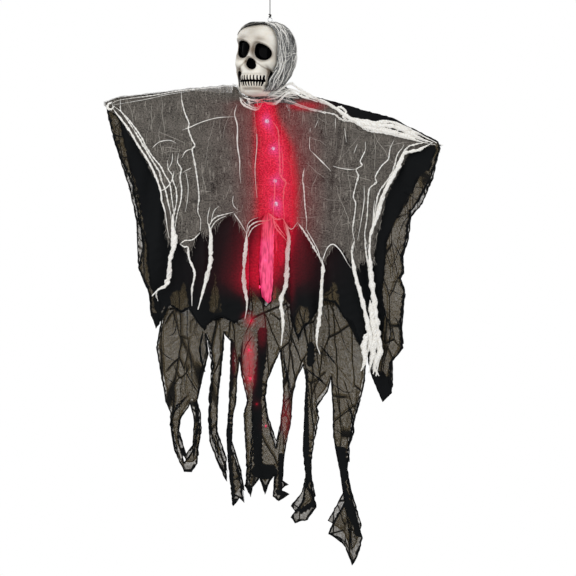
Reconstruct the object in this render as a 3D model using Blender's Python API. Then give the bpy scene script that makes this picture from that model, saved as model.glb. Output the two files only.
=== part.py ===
"""Hanging skeleton ghost: a hooded skull on a cord, with bendable wire arms under torn gauze and net.

Metres, +Z up, the figure faces -Y. The origin is the inside top of the hanging loop, where a hook
bears, and the whole figure hangs below it.
"""

import math

import bpy
from mathutils import Matrix, Vector
from mathutils.geometry import delaunay_2d_cdt

# Clearances between pieces
CLEARANCE = 0.0003
CUT_OVERRUN = 0.002

# Hanging cord, its loop and its knots
CORD_RADIUS = 0.0007
LOOP_HEIGHT = 0.0243
LOOP_WIDTH = 0.0120
KNOT_RADIUS = 0.0024

# Crown, eyelet and head. Heights on the head are measured from its centre.
CROWN_DROP = 0.0750
HEAD_CENTRE_DROP = 0.1330
HEAD_YAW_DEG = -30.0
EYELET_RING_RADIUS = 0.0035
EYELET_WIRE_RADIUS = 0.0007
EYELET_SHANK_RADIUS = 0.0011
EYELET_SHANK_LENGTH = 0.0120

# Moulded skull face
SKULL_HALF_WIDTH = 0.0400
SKULL_DEPTH = 0.0480
SKULL_TOP = 0.0510
SKULL_CHIN = 0.0670
SKULL_RIM_FORWARD = 0.0200
JAW_RIM_SETBACK = 0.0120
FACE_ROUNDNESS_POWER = 0.62
SKULL_HOLLOW_SHARE = 0.55
EYE_SPACING = 0.0185
EYE_HEIGHT = 0.0095
EYE_HALF_WIDTH = 0.0138
EYE_HALF_HEIGHT = 0.0150
EYE_DEPTH = 0.0125
NOSE_HEIGHT = -0.0130
NOSE_HALF_WIDTH = 0.0075
NOSE_HALF_HEIGHT = 0.0105
NOSE_DEPTH = 0.0075
CHEEK_RISE = 0.0035
BROW_RISE = 0.0028
TEMPLE_DIP = 0.0030
JAW_GAP_DEPTH = 0.0060
TOOTH_LINE_HEIGHT = -0.0400
TOOTH_LINE_HALF_HEIGHT = 0.0041
TOOTH_LINE_DEPTH = 0.0016
JAW_START_SHARE = 0.45
HOLLOW_WIDTH_SHARE = 0.88
HOLLOW_END_WIDTH_SHARE = 0.60

# Soft forms of the face: middle across and up, then half width and half height, as shares of
# SKULL_HALF_WIDTH across and SKULL_TOP up
CHEEK_SHARES = (0.72, -0.26, 0.30, 0.20)
BROW_SHARES = (0.44, 0.55, 0.42, 0.15)
TEMPLE_SHARES = (0.90, 0.45, 0.25, 0.35)
JAW_GAP_SHARES = (0.66, -0.56, 0.16, 0.20)

# Foam core behind the face
CORE_HALF_WIDTH = 0.0385
CORE_BACK = 0.0450
CORE_HALF_HEIGHT = 0.0520
CORE_END_SHARE = 0.94
CORE_NECK_SHARE = 0.40

# Gauze hood
HOOD_HALF_WIDTH = 0.0485
HOOD_WALL = 0.0015
HOOD_FRONT = 0.0380
HOOD_FRONT_BULGE = 0.0740
HOOD_BACK = 0.0540
HOOD_TOP = 0.0590
HOOD_SHOULDER = 0.0050
HOOD_BOTTOM = 0.0570
HOOD_FRONT_BOTTOM = 0.0340
HOOD_GATHER = 0.0230
HOOD_FRONT_GATHER = 0.0350
HOOD_ARCH_POWER = 0.80
HOOD_LEG_POWER = 5
HOOD_EYELET_HOLE = 0.0036
HOOD_LEAST_SHARE = 0.22
HOOD_CLOSED_SHARE = 0.97
HOOD_LEAST_FOOT_SHARE = 0.125

# Neck stem and its push nut
STEM_RADIUS = 0.0035
STEM_BELOW_NUT = 0.0020
NUT_RADIUS = 0.0046
NUT_THICKNESS = 0.0012
NECK_TIE_RADIUS = 0.0072
NECK_TIE_TUBE = 0.0025

# Shoulder hub with its two clevises
HUB_DROP = 0.2050
HUB_HALF_LENGTH = 0.0370
HUB_HALF_HEIGHT = 0.0070
HUB_HALF_DEPTH = 0.0060
CLEVIS_SLOT_START = 0.0245
ARM_PIVOT_X = 0.0310
RIVET_RADIUS = 0.0021
RIVET_HEAD_RADIUS = 0.0036
RIVET_HEAD_HEIGHT = 0.0008

# Bendable arms
ARM_WIRE_RADIUS = 0.0015
ARM_ROD_SHARE = 0.96
ARM_ROD_START_SHARE = 0.75
ARM_RING_RADIUS = 0.0055
LEFT_ARM_LENGTH = 0.2415
RIGHT_ARM_LENGTH = 0.2645
LEFT_ARM_DROOP_DEG = 1.5
RIGHT_ARM_DROOP_DEG = 16.5
WRIST_TIE_SHARE = 0.95
SLEEVE_TIE_SHARE = 0.50
TIE_RADIUS = 0.0047
TIE_TUBE = 0.0028

# Battery case, which hangs behind the hub on its ear
CASE_HALF_WIDTH = 0.0200
CASE_HEIGHT = 0.0500
CASE_DEPTH = 0.0142
CASE_WALL = 0.0015
CASE_SIDE_WALL = 0.0024
CASE_TOP_DROP = 0.2600
EAR_HALF_WIDTH = 0.0145
EAR_THICKNESS = 0.0020
EAR_TOP_DROP = 0.2015
LID_THICKNESS = 0.0015
LID_HALF_WIDTH = 0.0185
LID_RIDGE_HEIGHT = 0.0008
CASE_SCREW_X = 0.0100
CASE_SCREW_RADIUS = 0.0013
CASE_SCREW_HEAD_RADIUS = 0.0028
CASE_SCREW_HEAD_HEIGHT = 0.0012
CASE_SCREW_DEPTH = 0.0040
CELL_RADIUS = 0.0100
CELL_THICKNESS = 0.0032
CONTACT_THICKNESS = 0.0004
CONTACT_HALF_WIDTH = 0.0045
CONTACT_LOW_SHARE = 1.3
CONTACT_TOP_SHARE = 0.9
BOARD_HALF_WIDTH = 0.0150
BOARD_HEIGHT = 0.0130
BOARD_THICKNESS = 0.0012
SWITCH_SLOT_DROP_SHARE = 0.86
SWITCH_SLOT_HEIGHT = 0.0100
SWITCH_SLOT_WIDTH = 0.0036
SWITCH_KNOB_HEIGHT = 0.0050
SWITCH_KNOB_PROUD = 0.0020

# Light string
LED_WIRE_RADIUS = 0.0005
LED_RADIUS = 0.0017
GLAND_X = 0.0170
GLAND_Y = 0.0135
GLAND_RADIUS = 0.0022
GLAND_TIP_RADIUS = 0.0012
GLAND_LENGTH = 0.0050

# Cloth: one garment seen from the front, from its collar down, and the layers it hangs in
GARMENT_TOP_DROP = 0.1930
GARMENT_LENGTH = 0.7800
GARMENT_REACH = 0.2820
LEFT_WING_SHARE = 1.0393
RIGHT_WING_SHARE = 0.9490
CLOTH_THICKNESS = 0.0010
CLOTH_FLARE = 0.0450
FLARE_STEPS = 3
FLARE_EDGE = 0.0150
FOLD_HEIGHT = 0.0020
FOLD_LENGTH = 0.0620
SMALL_FOLD_HEIGHT = 0.0009
SMALL_FOLD_LENGTH = 0.0330
FOLD_GROWTH = 1.9
FOLD_GROWTH_DROP = 0.4500
FOLD_FAN_DROP = 0.9000
SWAY_HEIGHT = 0.0055
SWAY_START_DROP = 0.5200
SWAY_GROWTH_DROP = 0.3000
SWAY_LENGTH = 0.2100
SWAY_SLANT_LENGTH = 0.3300
CLOTH_GRID = 0.0210
CLOTH_EDGE_SHARE = 0.45

# Where each layer lies along Y, close to the arms and further down
ROBE_FRONT_NEAR = -0.0068
ROBE_FRONT_FAR = -0.0145
SLEEVE_FRONT_NEAR = -0.0087
SLEEVE_FRONT_FAR = -0.0225
CAPE_FRONT_NEAR = -0.0106
CAPE_FRONT_FAR = -0.0305
LINER_NEAR = -0.0055
LINER_FAR = -0.0068
LINER_FOLD_HEIGHT = 0.0008
ROBE_BACK_NEAR = 0.0106
ROBE_BACK_FAR = 0.0300
SLEEVE_BACK_NEAR = 0.0087
SLEEVE_BACK_FAR = 0.0380
CAPE_BACK_NEAR = 0.0112
CAPE_BACK_CENTRE_NEAR = 0.0125
CAPE_BACK_FAR = 0.0460

# Places worked out from the sizes above
HEAD_CENTRE = Vector((0, 0, -HEAD_CENTRE_DROP))
HEAD_TURN = Matrix.Rotation(math.radians(HEAD_YAW_DEG), 4, "Z")
HEAD_PLACE = Matrix.Translation(HEAD_CENTRE) @ HEAD_TURN
HUB_TOP = HUB_HALF_HEIGHT - HUB_DROP
HUB_BOTTOM = -HUB_HALF_HEIGHT - HUB_DROP
STEM_TOP = -HEAD_CENTRE_DROP - CORE_HALF_HEIGHT * CORE_END_SHARE - CLEARANCE
NUT_TOP = HUB_BOTTOM - CLEARANCE
STEM_BOTTOM = NUT_TOP - NUT_THICKNESS - STEM_BELOW_NUT
CASE_FRONT = HUB_HALF_DEPTH + CLEARANCE
CASE_BACK = CASE_FRONT + CASE_DEPTH
LID_FRONT = CASE_BACK - LID_THICKNESS
CAVITY_FLOOR = CASE_FRONT + CASE_WALL
EYELET_CENTRE = -CROWN_DROP + EYELET_RING_RADIUS + CLEARANCE

# Shapes of the skull: half width and depth at heights, as shares of its own sizes
SKULL_PROFILE_SHARES = [
    (1.00, 0.24, 0.16),
    (0.95, 0.42, 0.42),
    (0.86, 0.63, 0.66),
    (0.70, 0.83, 0.85),
    (0.50, 0.95, 0.94),
    (0.25, 1.00, 0.98),
    (0.00, 0.98, 0.99),
    (-0.12, 0.96, 1.00),
    (-0.24, 0.92, 0.98),
    (-0.36, 0.80, 0.98),
    (-0.50, 0.71, 1.00),
    (-0.66, 0.66, 0.99),
    (-0.80, 0.59, 0.95),
    (-0.90, 0.48, 0.86),
    (-0.96, 0.36, 0.68),
    (-1.00, 0.20, 0.36),
]

# Outlines of the wings: shares of the wing's width past the arm's pivot, and of the garment's
# length down. The wing's width is a share of its arm's length.
CAPE_LEFT_SHARES = [
    (0.005, 0.012), (0.12, 0.000), (0.465, -0.006), (0.888, 0.011), (0.968, 0.021),
    (0.961, 0.032), (0.921, 0.043), (0.875, 0.049), (0.816, 0.079), (0.736, 0.121), (0.670, 0.160),
    (0.604, 0.200), (0.571, 0.238), (0.558, 0.281), (0.544, 0.319), (0.518, 0.334), (0.485, 0.317),
    (0.445, 0.332), (0.406, 0.349), (0.366, 0.313), (0.320, 0.298), (0.287, 0.309), (0.253, 0.294),
    (0.194, 0.275), (0.121, 0.258), (0.075, 0.283), (0.035, 0.309), (0.005, 0.304),
]
CAPE_RIGHT_SHARES = [
    (0.005, 0.012), (0.167, 0.0085), (0.319, 0.032), (0.412, 0.050), (0.577, 0.064), (0.848, 0.100),
    (0.950, 0.105), (0.974, 0.113), (0.902, 0.117), (0.802, 0.128), (0.749, 0.153), (0.703, 0.185),
    (0.657, 0.211), (0.630, 0.238), (0.604, 0.275), (0.571, 0.313), (0.558, 0.360), (0.538, 0.387),
    (0.511, 0.360), (0.472, 0.360), (0.439, 0.381), (0.412, 0.362), (0.359, 0.338), (0.306, 0.323),
    (0.260, 0.343), (0.227, 0.362), (0.194, 0.347), (0.148, 0.319), (0.095, 0.292), (0.055, 0.277),
    (0.029, 0.294), (0.005, 0.309),
]
SLEEVE_LEFT_SHARES = [
    (0.005, 0.012), (0.12, 0.002), (0.465, -0.004), (0.888, 0.012), (0.960, 0.022), (0.941, 0.053),
    (0.882, 0.121), (0.783, 0.194), (0.749, 0.251), (0.716, 0.311), (0.710, 0.326), (0.743, 0.372),
    (0.664, 0.428), (0.657, 0.466), (0.624, 0.500), (0.578, 0.477), (0.538, 0.451), (0.458, 0.468),
    (0.406, 0.458), (0.353, 0.487), (0.306, 0.504), (0.260, 0.483), (0.194, 0.475), (0.108, 0.489),
    (0.042, 0.475), (0.005, 0.462),
]
SLEEVE_RIGHT_SHARES = [
    (0.005, 0.012), (0.100, 0.002), (0.333, 0.023), (0.690, 0.055), (0.816, 0.077), (0.985, 0.104),
    (1.001, 0.119), (0.941, 0.175), (0.862, 0.228), (0.802, 0.253), (0.776, 0.309), (0.749, 0.343),
    (0.756, 0.381), (0.730, 0.392), (0.763, 0.421), (0.736, 0.489), (0.749, 0.541), (0.670, 0.575),
    (0.677, 0.636), (0.617, 0.655), (0.584, 0.632), (0.538, 0.594), (0.511, 0.547), (0.458, 0.526),
    (0.419, 0.487), (0.366, 0.479), (0.300, 0.445), (0.234, 0.441), (0.154, 0.479), (0.095, 0.500),
    (0.062, 0.526), (0.035, 0.500), (0.005, 0.475),
]
SLEEVE_BACK_LEFT_SHARES = [
    (0.12, 0.004), (0.465, -0.002), (0.888, 0.012), (0.960, 0.022), (0.941, 0.053),
    (0.900, 0.121), (0.816, 0.206), (0.776, 0.270), (0.763, 0.360), (0.690, 0.424), (0.677, 0.475),
    (0.637, 0.487), (0.584, 0.441), (0.505, 0.453), (0.432, 0.436), (0.300, 0.460), (0.120, 0.445),
]
SLEEVE_BACK_RIGHT_SHARES = [
    (0.120, 0.005), (0.333, 0.021), (0.690, 0.053), (0.816, 0.075), (0.985, 0.104),
    (1.001, 0.119), (0.968, 0.179), (0.895, 0.234), (0.822, 0.262), (0.802, 0.313), (0.769, 0.347),
    (0.776, 0.383), (0.749, 0.398), (0.783, 0.428), (0.763, 0.494), (0.769, 0.534), (0.697, 0.568),
    (0.697, 0.628), (0.644, 0.641), (0.604, 0.590), (0.551, 0.536), (0.485, 0.521), (0.432, 0.483),
    (0.300, 0.450), (0.120, 0.460),
]

# Outlines of the torso's cloth: shares of the reach from the middle, and of the garment's length
ROBE_SHARES = [
    (-0.080, 0.008), (-0.095, 0.030), (-0.177, 0.087), (-0.324, 0.168), (-0.471, 0.270),
    (-0.577, 0.377), (-0.618, 0.462), (-0.648, 0.502), (-0.665, 0.541), (-0.648, 0.575),
    (-0.618, 0.636), (-0.612, 0.655), (-0.583, 0.677), (-0.583, 0.709), (-0.559, 0.758),
    (-0.500, 0.802), (-0.459, 0.804), (-0.424, 0.787), (-0.424, 0.753), (-0.406, 0.736),
    (-0.412, 0.692), (-0.430, 0.662), (-0.406, 0.621), (-0.365, 0.558), (-0.377, 0.513),
    (-0.347, 0.538), (-0.336, 0.585), (-0.359, 0.692), (-0.353, 0.738), (-0.306, 0.785),
    (-0.253, 0.826), (-0.259, 0.792), (-0.288, 0.758), (-0.312, 0.732), (-0.306, 0.651),
    (-0.277, 0.555), (-0.271, 0.509), (-0.230, 0.528), (-0.235, 0.611), (-0.241, 0.662),
    (-0.253, 0.726), (-0.247, 0.770), (-0.218, 0.877), (-0.177, 0.858), (-0.150, 0.868),
    (-0.174, 0.815), (-0.200, 0.781), (-0.224, 0.753), (-0.218, 0.692), (-0.200, 0.662),
    (-0.194, 0.611), (-0.177, 0.562), (-0.165, 0.600), (-0.130, 0.655), (-0.153, 0.685),
    (-0.141, 0.743), (-0.135, 0.804), (-0.145, 0.832), (-0.112, 0.856), (-0.100, 0.836),
    (-0.059, 0.815), (-0.029, 0.853), (0.000, 0.824), (0.029, 0.809), (0.018, 0.856),
    (0.053, 0.866), (0.112, 0.851), (0.071, 0.843), (0.082, 0.773), (0.124, 0.692),
    (0.135, 0.641), (0.153, 0.611), (0.194, 0.577), (0.212, 0.611), (0.194, 0.758),
    (0.212, 0.824), (0.188, 0.866), (0.124, 0.900), (0.147, 0.913), (0.218, 0.904),
    (0.271, 0.877), (0.247, 0.836), (0.241, 0.783), (0.259, 0.738), (0.288, 0.690),
    (0.271, 0.668), (0.336, 0.634), (0.359, 0.604), (0.371, 0.679), (0.371, 0.726),
    (0.406, 0.796), (0.436, 0.866), (0.341, 0.934), (0.436, 0.960), (0.483, 1.002),
    (0.512, 0.985), (0.542, 0.943), (0.483, 0.864), (0.453, 0.807), (0.465, 0.743),
    (0.494, 0.698), (0.524, 0.658), (0.553, 0.611), (0.565, 0.547), (0.542, 0.462),
    (0.483, 0.355), (0.383, 0.249), (0.247, 0.153), (0.165, 0.087), (0.095, 0.030), (0.080, 0.008),
]
ROBE_HOLE_SHARES = [
    [(-0.465, 0.658), (-0.530, 0.698), (-0.536, 0.732), (-0.500, 0.783), (-0.453, 0.760),
     (-0.441, 0.692)],
    [(0.059, 0.547), (-0.012, 0.607), (-0.029, 0.653), (-0.012, 0.696), (0.035, 0.751),
     (0.059, 0.717), (0.077, 0.653), (0.077, 0.607)],
]
BACK_LENGTH_SHARE = 0.955
BACK_SHORTENS_FROM_SHARE = 0.5
LINER_SHARES = [
    (-0.041, 0.0250), (-0.050, 0.126), (-0.053, 0.296), (-0.065, 0.377), (-0.047, 0.434),
    (0.000, 0.451), (0.035, 0.436), (0.047, 0.334), (0.047, 0.200), (0.041, 0.0250),
]

# Outline of the cape's middle: shares of the distance to the arms' pivots, and of the length
CAPE_CENTRE_SHARES = [
    (-0.773, 0.012), (-0.910, 0.050), (-0.973, 0.160), (-0.973, 0.294), (-0.537, 0.272),
    (0.000, 0.258), (0.482, 0.270), (0.973, 0.300), (0.973, 0.160), (0.910, 0.050), (0.773, 0.012),
]

# Route of the light string's wire, from its gland over the hub's rear and down inside the robe
LED_WIRE_START_POINTS = [
    (0.0170, 0.0135, -0.2544),
    (0.0170, 0.0134, -0.2450),
    (0.0170, 0.0120, -0.2330),
    (0.0166, 0.0080, -0.2240),
    (0.0150, 0.0025, -0.2212),
    (0.0100, 0.0004, -0.2260),
]
LED_POINTS = [
    (-0.0050, 0.0000, -0.2420),
    (0.0055, 0.0000, -0.2875),
    (0.0086, 0.0000, -0.3406),
    (0.0102, 0.0000, -0.3783),
    (0.0050, 0.0000, -0.4294),
    (-0.0070, 0.0000, -0.4705),
    (-0.0174, 0.0000, -0.5149),
    (-0.0312, 0.0000, -0.5713),
    (-0.0350, 0.0000, -0.6195),
    (-0.0325, 0.0000, -0.6666),
    (-0.0215, 0.0000, -0.7080),
    (-0.0068, 0.0000, -0.7440),
]
LED_WIRE_STEPS_PER_POINT = 3


def clear_scene():
    for obj in list(bpy.data.objects):
        bpy.data.objects.remove(obj, do_unlink=True)


def linear(channel):
    """One sRGB channel from 0 to 1 as a linear value."""
    if channel <= 0.04045:
        return channel / 12.92
    return ((channel + 0.055) / 1.055) ** 2.4


def make_material(name, colour, roughness, metallic=0.0):
    material = bpy.data.materials.new(name)
    material.use_nodes = True
    shader = material.node_tree.nodes["Principled BSDF"]
    channels = [int(colour[i : i + 2], 16) / 255 for i in (1, 3, 5)]
    shader.inputs["Base Color"].default_value = [linear(c) for c in channels] + [1.0]
    shader.inputs["Roughness"].default_value = roughness
    shader.inputs["Metallic"].default_value = metallic
    return material


def make_object(name, points, faces, material, smooth_angle_deg=None):
    mesh = bpy.data.meshes.new(name)
    mesh.from_pydata([tuple(p) for p in points], [], faces)
    mesh.materials.append(material)
    mesh.update()
    if smooth_angle_deg is not None:
        mesh.shade_smooth()
        mesh.set_sharp_from_angle(angle=math.radians(smooth_angle_deg))
    obj = bpy.data.objects.new(name, mesh)
    bpy.context.scene.collection.objects.link(obj)
    return obj


def loft(name, rings, material, smooth_angle_deg=None):
    """A closed body through rings of equally many points, each anticlockwise seen from the last."""
    count = len(rings[0])
    points = [p for ring in rings for p in ring]
    faces = [tuple(reversed(range(count)))]
    for r in range(len(rings) - 1):
        for i in range(count):
            j = (i + 1) % count
            low, high = r * count, (r + 1) * count
            faces.append((low + i, low + j, high + j, high + i))
    last = (len(rings) - 1) * count
    faces.append(tuple(range(last, last + count)))
    return make_object(name, points, faces, material, smooth_angle_deg)


def turned(name, profile, material, sides, smooth_angle_deg=40):
    """A solid of revolution about Z. profile is (radius, z) from the lowest point up."""
    rings = []
    for radius, z in profile:
        angles = [2 * math.pi * i / sides for i in range(sides)]
        rings.append([Vector((radius * math.cos(a), radius * math.sin(a), z)) for a in angles])
    return loft(name, rings, material, smooth_angle_deg)


def torus(name, radius, tube, material, sides=14, tube_sides=8):
    """A ring about Z."""
    points, faces = [], []
    for i in range(sides):
        around = 2 * math.pi * i / sides
        for j in range(tube_sides):
            turn = 2 * math.pi * j / tube_sides
            reach = radius + tube * math.cos(turn)
            points.append((reach * math.cos(around), reach * math.sin(around), tube * math.sin(turn)))
    for i in range(sides):
        for j in range(tube_sides):
            i2, j2 = (i + 1) % sides, (j + 1) % tube_sides
            faces.append(
                (i * tube_sides + j, i2 * tube_sides + j, i2 * tube_sides + j2, i * tube_sides + j2)
            )
    return make_object(name, points, faces, material, 60)


def block(name, low, high, material):
    corners = [Vector((x, y, z)) for z in (low[2], high[2]) for x, y in (
        (low[0], low[1]), (high[0], low[1]), (high[0], high[1]), (low[0], high[1])
    )]
    return loft(name, [corners[:4], corners[4:]], material)


def combine(obj, other, operation):
    """A Boolean with a helper, which the build leaves out."""
    other.hide_render = True
    other.display_type = "WIRE"
    other.parent = obj.parent
    modifier = obj.modifiers.new(other.name, "BOOLEAN")
    modifier.operation = operation
    modifier.object = other


def ball(name, centre, radius, material, sides=8, rows=5):
    profile = []
    for row in range(rows):
        angle = math.pi * (row + 0.5) / rows - math.pi / 2
        profile.append((radius * math.cos(angle), radius * math.sin(angle)))
    obj = turned(name, profile, material, sides, 80)
    obj.location = centre
    return obj


def tube(name, points, radius, material, cyclic=False):
    curve = bpy.data.curves.new(name, "CURVE")
    curve.dimensions = "3D"
    curve.bevel_depth = radius
    curve.bevel_resolution = 2
    curve.use_fill_caps = not cyclic
    spline = curve.splines.new("POLY")
    spline.points.add(len(points) - 1)
    for spline_point, point in zip(spline.points, points):
        spline_point.co = (*point, 1)
    spline.use_cyclic_u = cyclic
    curve.materials.append(material)
    obj = bpy.data.objects.new(name, curve)
    bpy.context.scene.collection.objects.link(obj)
    return obj


def smooth_route(points, steps):
    """A Catmull-Rom curve through the points, with as many steps between each two."""
    points = [Vector(p) for p in points]
    padded = [2 * points[0] - points[1], *points, 2 * points[-1] - points[-2]]
    route = []
    for i in range(1, len(padded) - 2):
        a, b, c, d = padded[i - 1 : i + 3]
        for step in range(steps):
            t = step / steps
            route.append(
                0.5 * ((2 * b) + (c - a) * t + (2 * a - 5 * b + 4 * c - d) * t**2
                       + (3 * b - a - 3 * c + d) * t**3)
            )
    route.append(points[-1])
    return route


def smoothstep(t):
    t = min(max(t, 0.0), 1.0)
    return t * t * (3 - 2 * t)


def bump(distance):
    """1 at the middle, falling smoothly to 0 at distance 1."""
    return smoothstep(1 - distance)


def profile_at(height_share):
    """(half width, depth) shares of the skull at a height share, between the rows of its profile."""
    rows = SKULL_PROFILE_SHARES
    for upper, lower in zip(rows, rows[1:]):
        if height_share >= lower[0]:
            t = (height_share - lower[0]) / (upper[0] - lower[0])
            return tuple(lower[k] + t * (upper[k] - lower[k]) for k in (1, 2))
    return rows[-1][1:]


def distance_in(shares, side, z):
    """Distance from the middle of one soft form of the face, 1 at its edge."""
    across, up, half_width, half_height = shares
    return math.hypot(
        (side / SKULL_HALF_WIDTH - across) / half_width,
        (z / SKULL_TOP - up) / half_height,
    )


def skull_relief(x, z):
    """How far the face is pressed in at (x, z), negative where it stands proud."""
    side = abs(x)
    eye = math.hypot((side - EYE_SPACING) / EYE_HALF_WIDTH, (z - EYE_HEIGHT) / EYE_HALF_HEIGHT)
    nose = math.hypot(x / NOSE_HALF_WIDTH, (z - NOSE_HEIGHT) / NOSE_HALF_HEIGHT)
    teeth = abs(z - TOOTH_LINE_HEIGHT) / TOOTH_LINE_HALF_HEIGHT + side / SKULL_HALF_WIDTH
    relief = EYE_DEPTH * smoothstep(2.2 * (1.12 - eye))
    relief += NOSE_DEPTH * smoothstep(2.0 * (1.15 - nose))
    relief += JAW_GAP_DEPTH * smoothstep(1.5 * (1.15 - distance_in(JAW_GAP_SHARES, side, z)))
    relief += TEMPLE_DIP * bump(distance_in(TEMPLE_SHARES, side, z))
    relief += TOOTH_LINE_DEPTH * bump(teeth)
    relief -= CHEEK_RISE * bump(distance_in(CHEEK_SHARES, side, z))
    return relief - BROW_RISE * bump(distance_in(BROW_SHARES, side, z))


def skull_face(material, rows=30, columns=32, inner_columns=12):
    """A moulded half shell. Each row is a C shaped ring: the outside, then the hollow behind it."""
    rings = []
    for row in range(rows):
        share = -math.cos(math.pi * row / (rows - 1))
        height = SKULL_TOP if share > 0 else SKULL_CHIN
        z = share * height
        width_share, depth_share = profile_at(share)
        half_width = SKULL_HALF_WIDTH * width_share
        setback = JAW_RIM_SETBACK * smoothstep(-share / JAW_START_SHARE - 1)
        rim = -SKULL_RIM_FORWARD - setback
        depth = SKULL_DEPTH * depth_share - setback
        ring = []
        for i in range(columns):
            angle = math.pi * (i / (columns - 1) - 0.5)
            x = half_width * math.sin(angle)
            fade = smoothstep(3 * math.cos(angle)) * smoothstep(6 * (1 - abs(share)))
            forward = max(math.cos(angle), 0) ** FACE_ROUNDNESS_POWER
            y = rim - depth * forward + skull_relief(x, z) * fade
            ring.append(Vector((x, min(y, rim), z)))
        opening = smoothstep(4 * (1 - abs(share)))
        hollow = SKULL_HOLLOW_SHARE * opening
        widening = (HOLLOW_WIDTH_SHARE - HOLLOW_END_WIDTH_SHARE) * opening
        hollow_width = half_width * (HOLLOW_END_WIDTH_SHARE + widening)
        for i in range(inner_columns):
            angle = math.pi * (0.5 - i / (inner_columns - 1))
            x = hollow_width * math.sin(angle)
            y = rim - hollow * depth * math.cos(angle)
            ring.append(Vector((x, y, z)))
        rings.append(ring)
    obj = loft("skull_face", rings, material, 50)
    obj.matrix_world = HEAD_PLACE
    return obj


def core_ring(z, columns):
    """One level of the foam core: flat in front, where the face is glued, and round behind."""
    share = math.sqrt(1 - abs(z / CORE_HALF_HEIGHT) ** 3)
    half_width = CORE_HALF_WIDTH * (1 - CORE_NECK_SHARE * smoothstep(-z / CORE_HALF_HEIGHT))
    front = -SKULL_RIM_FORWARD + CLEARANCE
    ring = []
    for i in range(columns):
        angle = math.pi * (0.5 - i / (columns - 1))
        ring.append(Vector((
            half_width * share * math.sin(angle),
            front + (CORE_BACK - front) * share * math.cos(angle),
            z,
        )))
    return ring


def head_core(material, rows=11, columns=16):
    end = CORE_HALF_HEIGHT * CORE_END_SHARE
    heights = [end * -math.cos(math.pi * row / (rows - 1)) for row in range(rows)]
    obj = loft("head_core", [list(reversed(core_ring(z, columns))) for z in heights], material, 50)
    obj.matrix_world = HEAD_PLACE
    hole_radius = EYELET_SHANK_RADIUS + CLEARANCE
    hole = turned(
        "shank_hole_cutter",
        [(hole_radius, end - EYELET_SHANK_LENGTH), (hole_radius, end + CUT_OVERRUN)],
        material,
        8,
    )
    hole.matrix_world = HEAD_PLACE
    combine(obj, hole, "DIFFERENCE")
    return obj


def hood_arch(y, half_width, top, bottom, gather, wall, leg_steps=5, arch_steps=12):
    """An inverted U at one y, its outside from left foot to right foot, then its inside back."""
    def side(reach, crown, foot, low):
        arch = []
        drop = HOOD_SHOULDER - low
        for i in range(leg_steps):
            t = 1 - i / leg_steps
            inward = t**HOOD_LEG_POWER
            arch.append((-reach + (reach - foot) * inward, HOOD_SHOULDER - drop * t))
        for i in range(arch_steps + 1):
            angle = math.pi * (1 - i / arch_steps)
            across = math.copysign(abs(math.cos(angle)) ** HOOD_ARCH_POWER, math.cos(angle))
            up = abs(math.sin(angle)) ** HOOD_ARCH_POWER
            arch.append((reach * across, HOOD_SHOULDER + (crown - HOOD_SHOULDER) * up))
        for i in range(1, leg_steps + 1):
            t = i / leg_steps
            inward = t**HOOD_LEG_POWER
            arch.append((reach - (reach - foot) * inward, HOOD_SHOULDER - drop * t))
        return arch

    outside = side(half_width, top, gather, bottom)
    inside_foot = max(gather - wall, gather * HOOD_LEAST_FOOT_SHARE)
    inside = side(half_width - wall, top - wall, inside_foot, bottom)
    return [Vector((x, y, z)) for x, z in outside + list(reversed(inside))]


def hood(material, rows=12):
    """The gauze over the head: open in front for the face and below for the neck."""
    rings = []
    for row in range(rows):
        turn = math.pi * row / (rows - 1)
        middle = (HOOD_BACK - HOOD_FRONT) / 2
        y = middle - math.cos(turn) * (HOOD_BACK + HOOD_FRONT) / 2
        reach = HOOD_FRONT_BULGE if y < 0 else HOOD_BACK
        share = math.sqrt(max(1 - (y / reach) ** 2, HOOD_LEAST_SHARE**2))
        behind = smoothstep((y + HOOD_FRONT) / (HOOD_FRONT - NUT_RADIUS))
        low = HOOD_FRONT_BOTTOM + (HOOD_BOTTOM - HOOD_FRONT_BOTTOM) * behind
        foot = HOOD_FRONT_GATHER + (HOOD_GATHER - HOOD_FRONT_GATHER) * behind
        top = HOOD_SHOULDER + (HOOD_TOP - HOOD_SHOULDER) * share
        closing = row == rows - 1
        half_width = HOOD_HALF_WIDTH * share
        wall = half_width * HOOD_CLOSED_SHARE if closing else HOOD_WALL
        rings.append(hood_arch(y, half_width, top, -low, foot * share, wall))
    obj = loft("hood", rings, material, 60)
    obj.matrix_world = HEAD_PLACE
    hole = turned(
        "eyelet_hole_cutter",
        [(HOOD_EYELET_HOLE, HOOD_TOP - 4 * HOOD_WALL), (HOOD_EYELET_HOLE, HOOD_TOP + CUT_OVERRUN)],
        material,
        10,
    )
    hole.matrix_world = HEAD_PLACE
    combine(obj, hole, "DIFFERENCE")
    return obj


def crown_eyelet(material):
    """A screw eye: its ring stands over the crown and its shank goes down into the core."""
    core_top = CORE_HALF_HEIGHT * CORE_END_SHARE - HEAD_CENTRE_DROP
    shank_top = EYELET_CENTRE - EYELET_RING_RADIUS + EYELET_WIRE_RADIUS / 2
    shank_low = core_top - EYELET_SHANK_LENGTH + CLEARANCE
    shank = turned(
        "crown_eyelet",
        [
            (EYELET_WIRE_RADIUS / 2, shank_low),
            (EYELET_SHANK_RADIUS, shank_low + 2 * EYELET_SHANK_RADIUS),
            (EYELET_SHANK_RADIUS, shank_top),
        ],
        material,
        8,
    )
    ring = torus("eyelet_ring", EYELET_RING_RADIUS, EYELET_WIRE_RADIUS, material)
    ring.rotation_euler = (math.pi / 2, 0, 0)
    ring.location = (0, 0, EYELET_CENTRE)
    combine(shank, ring, "UNION")
    return shank


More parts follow.
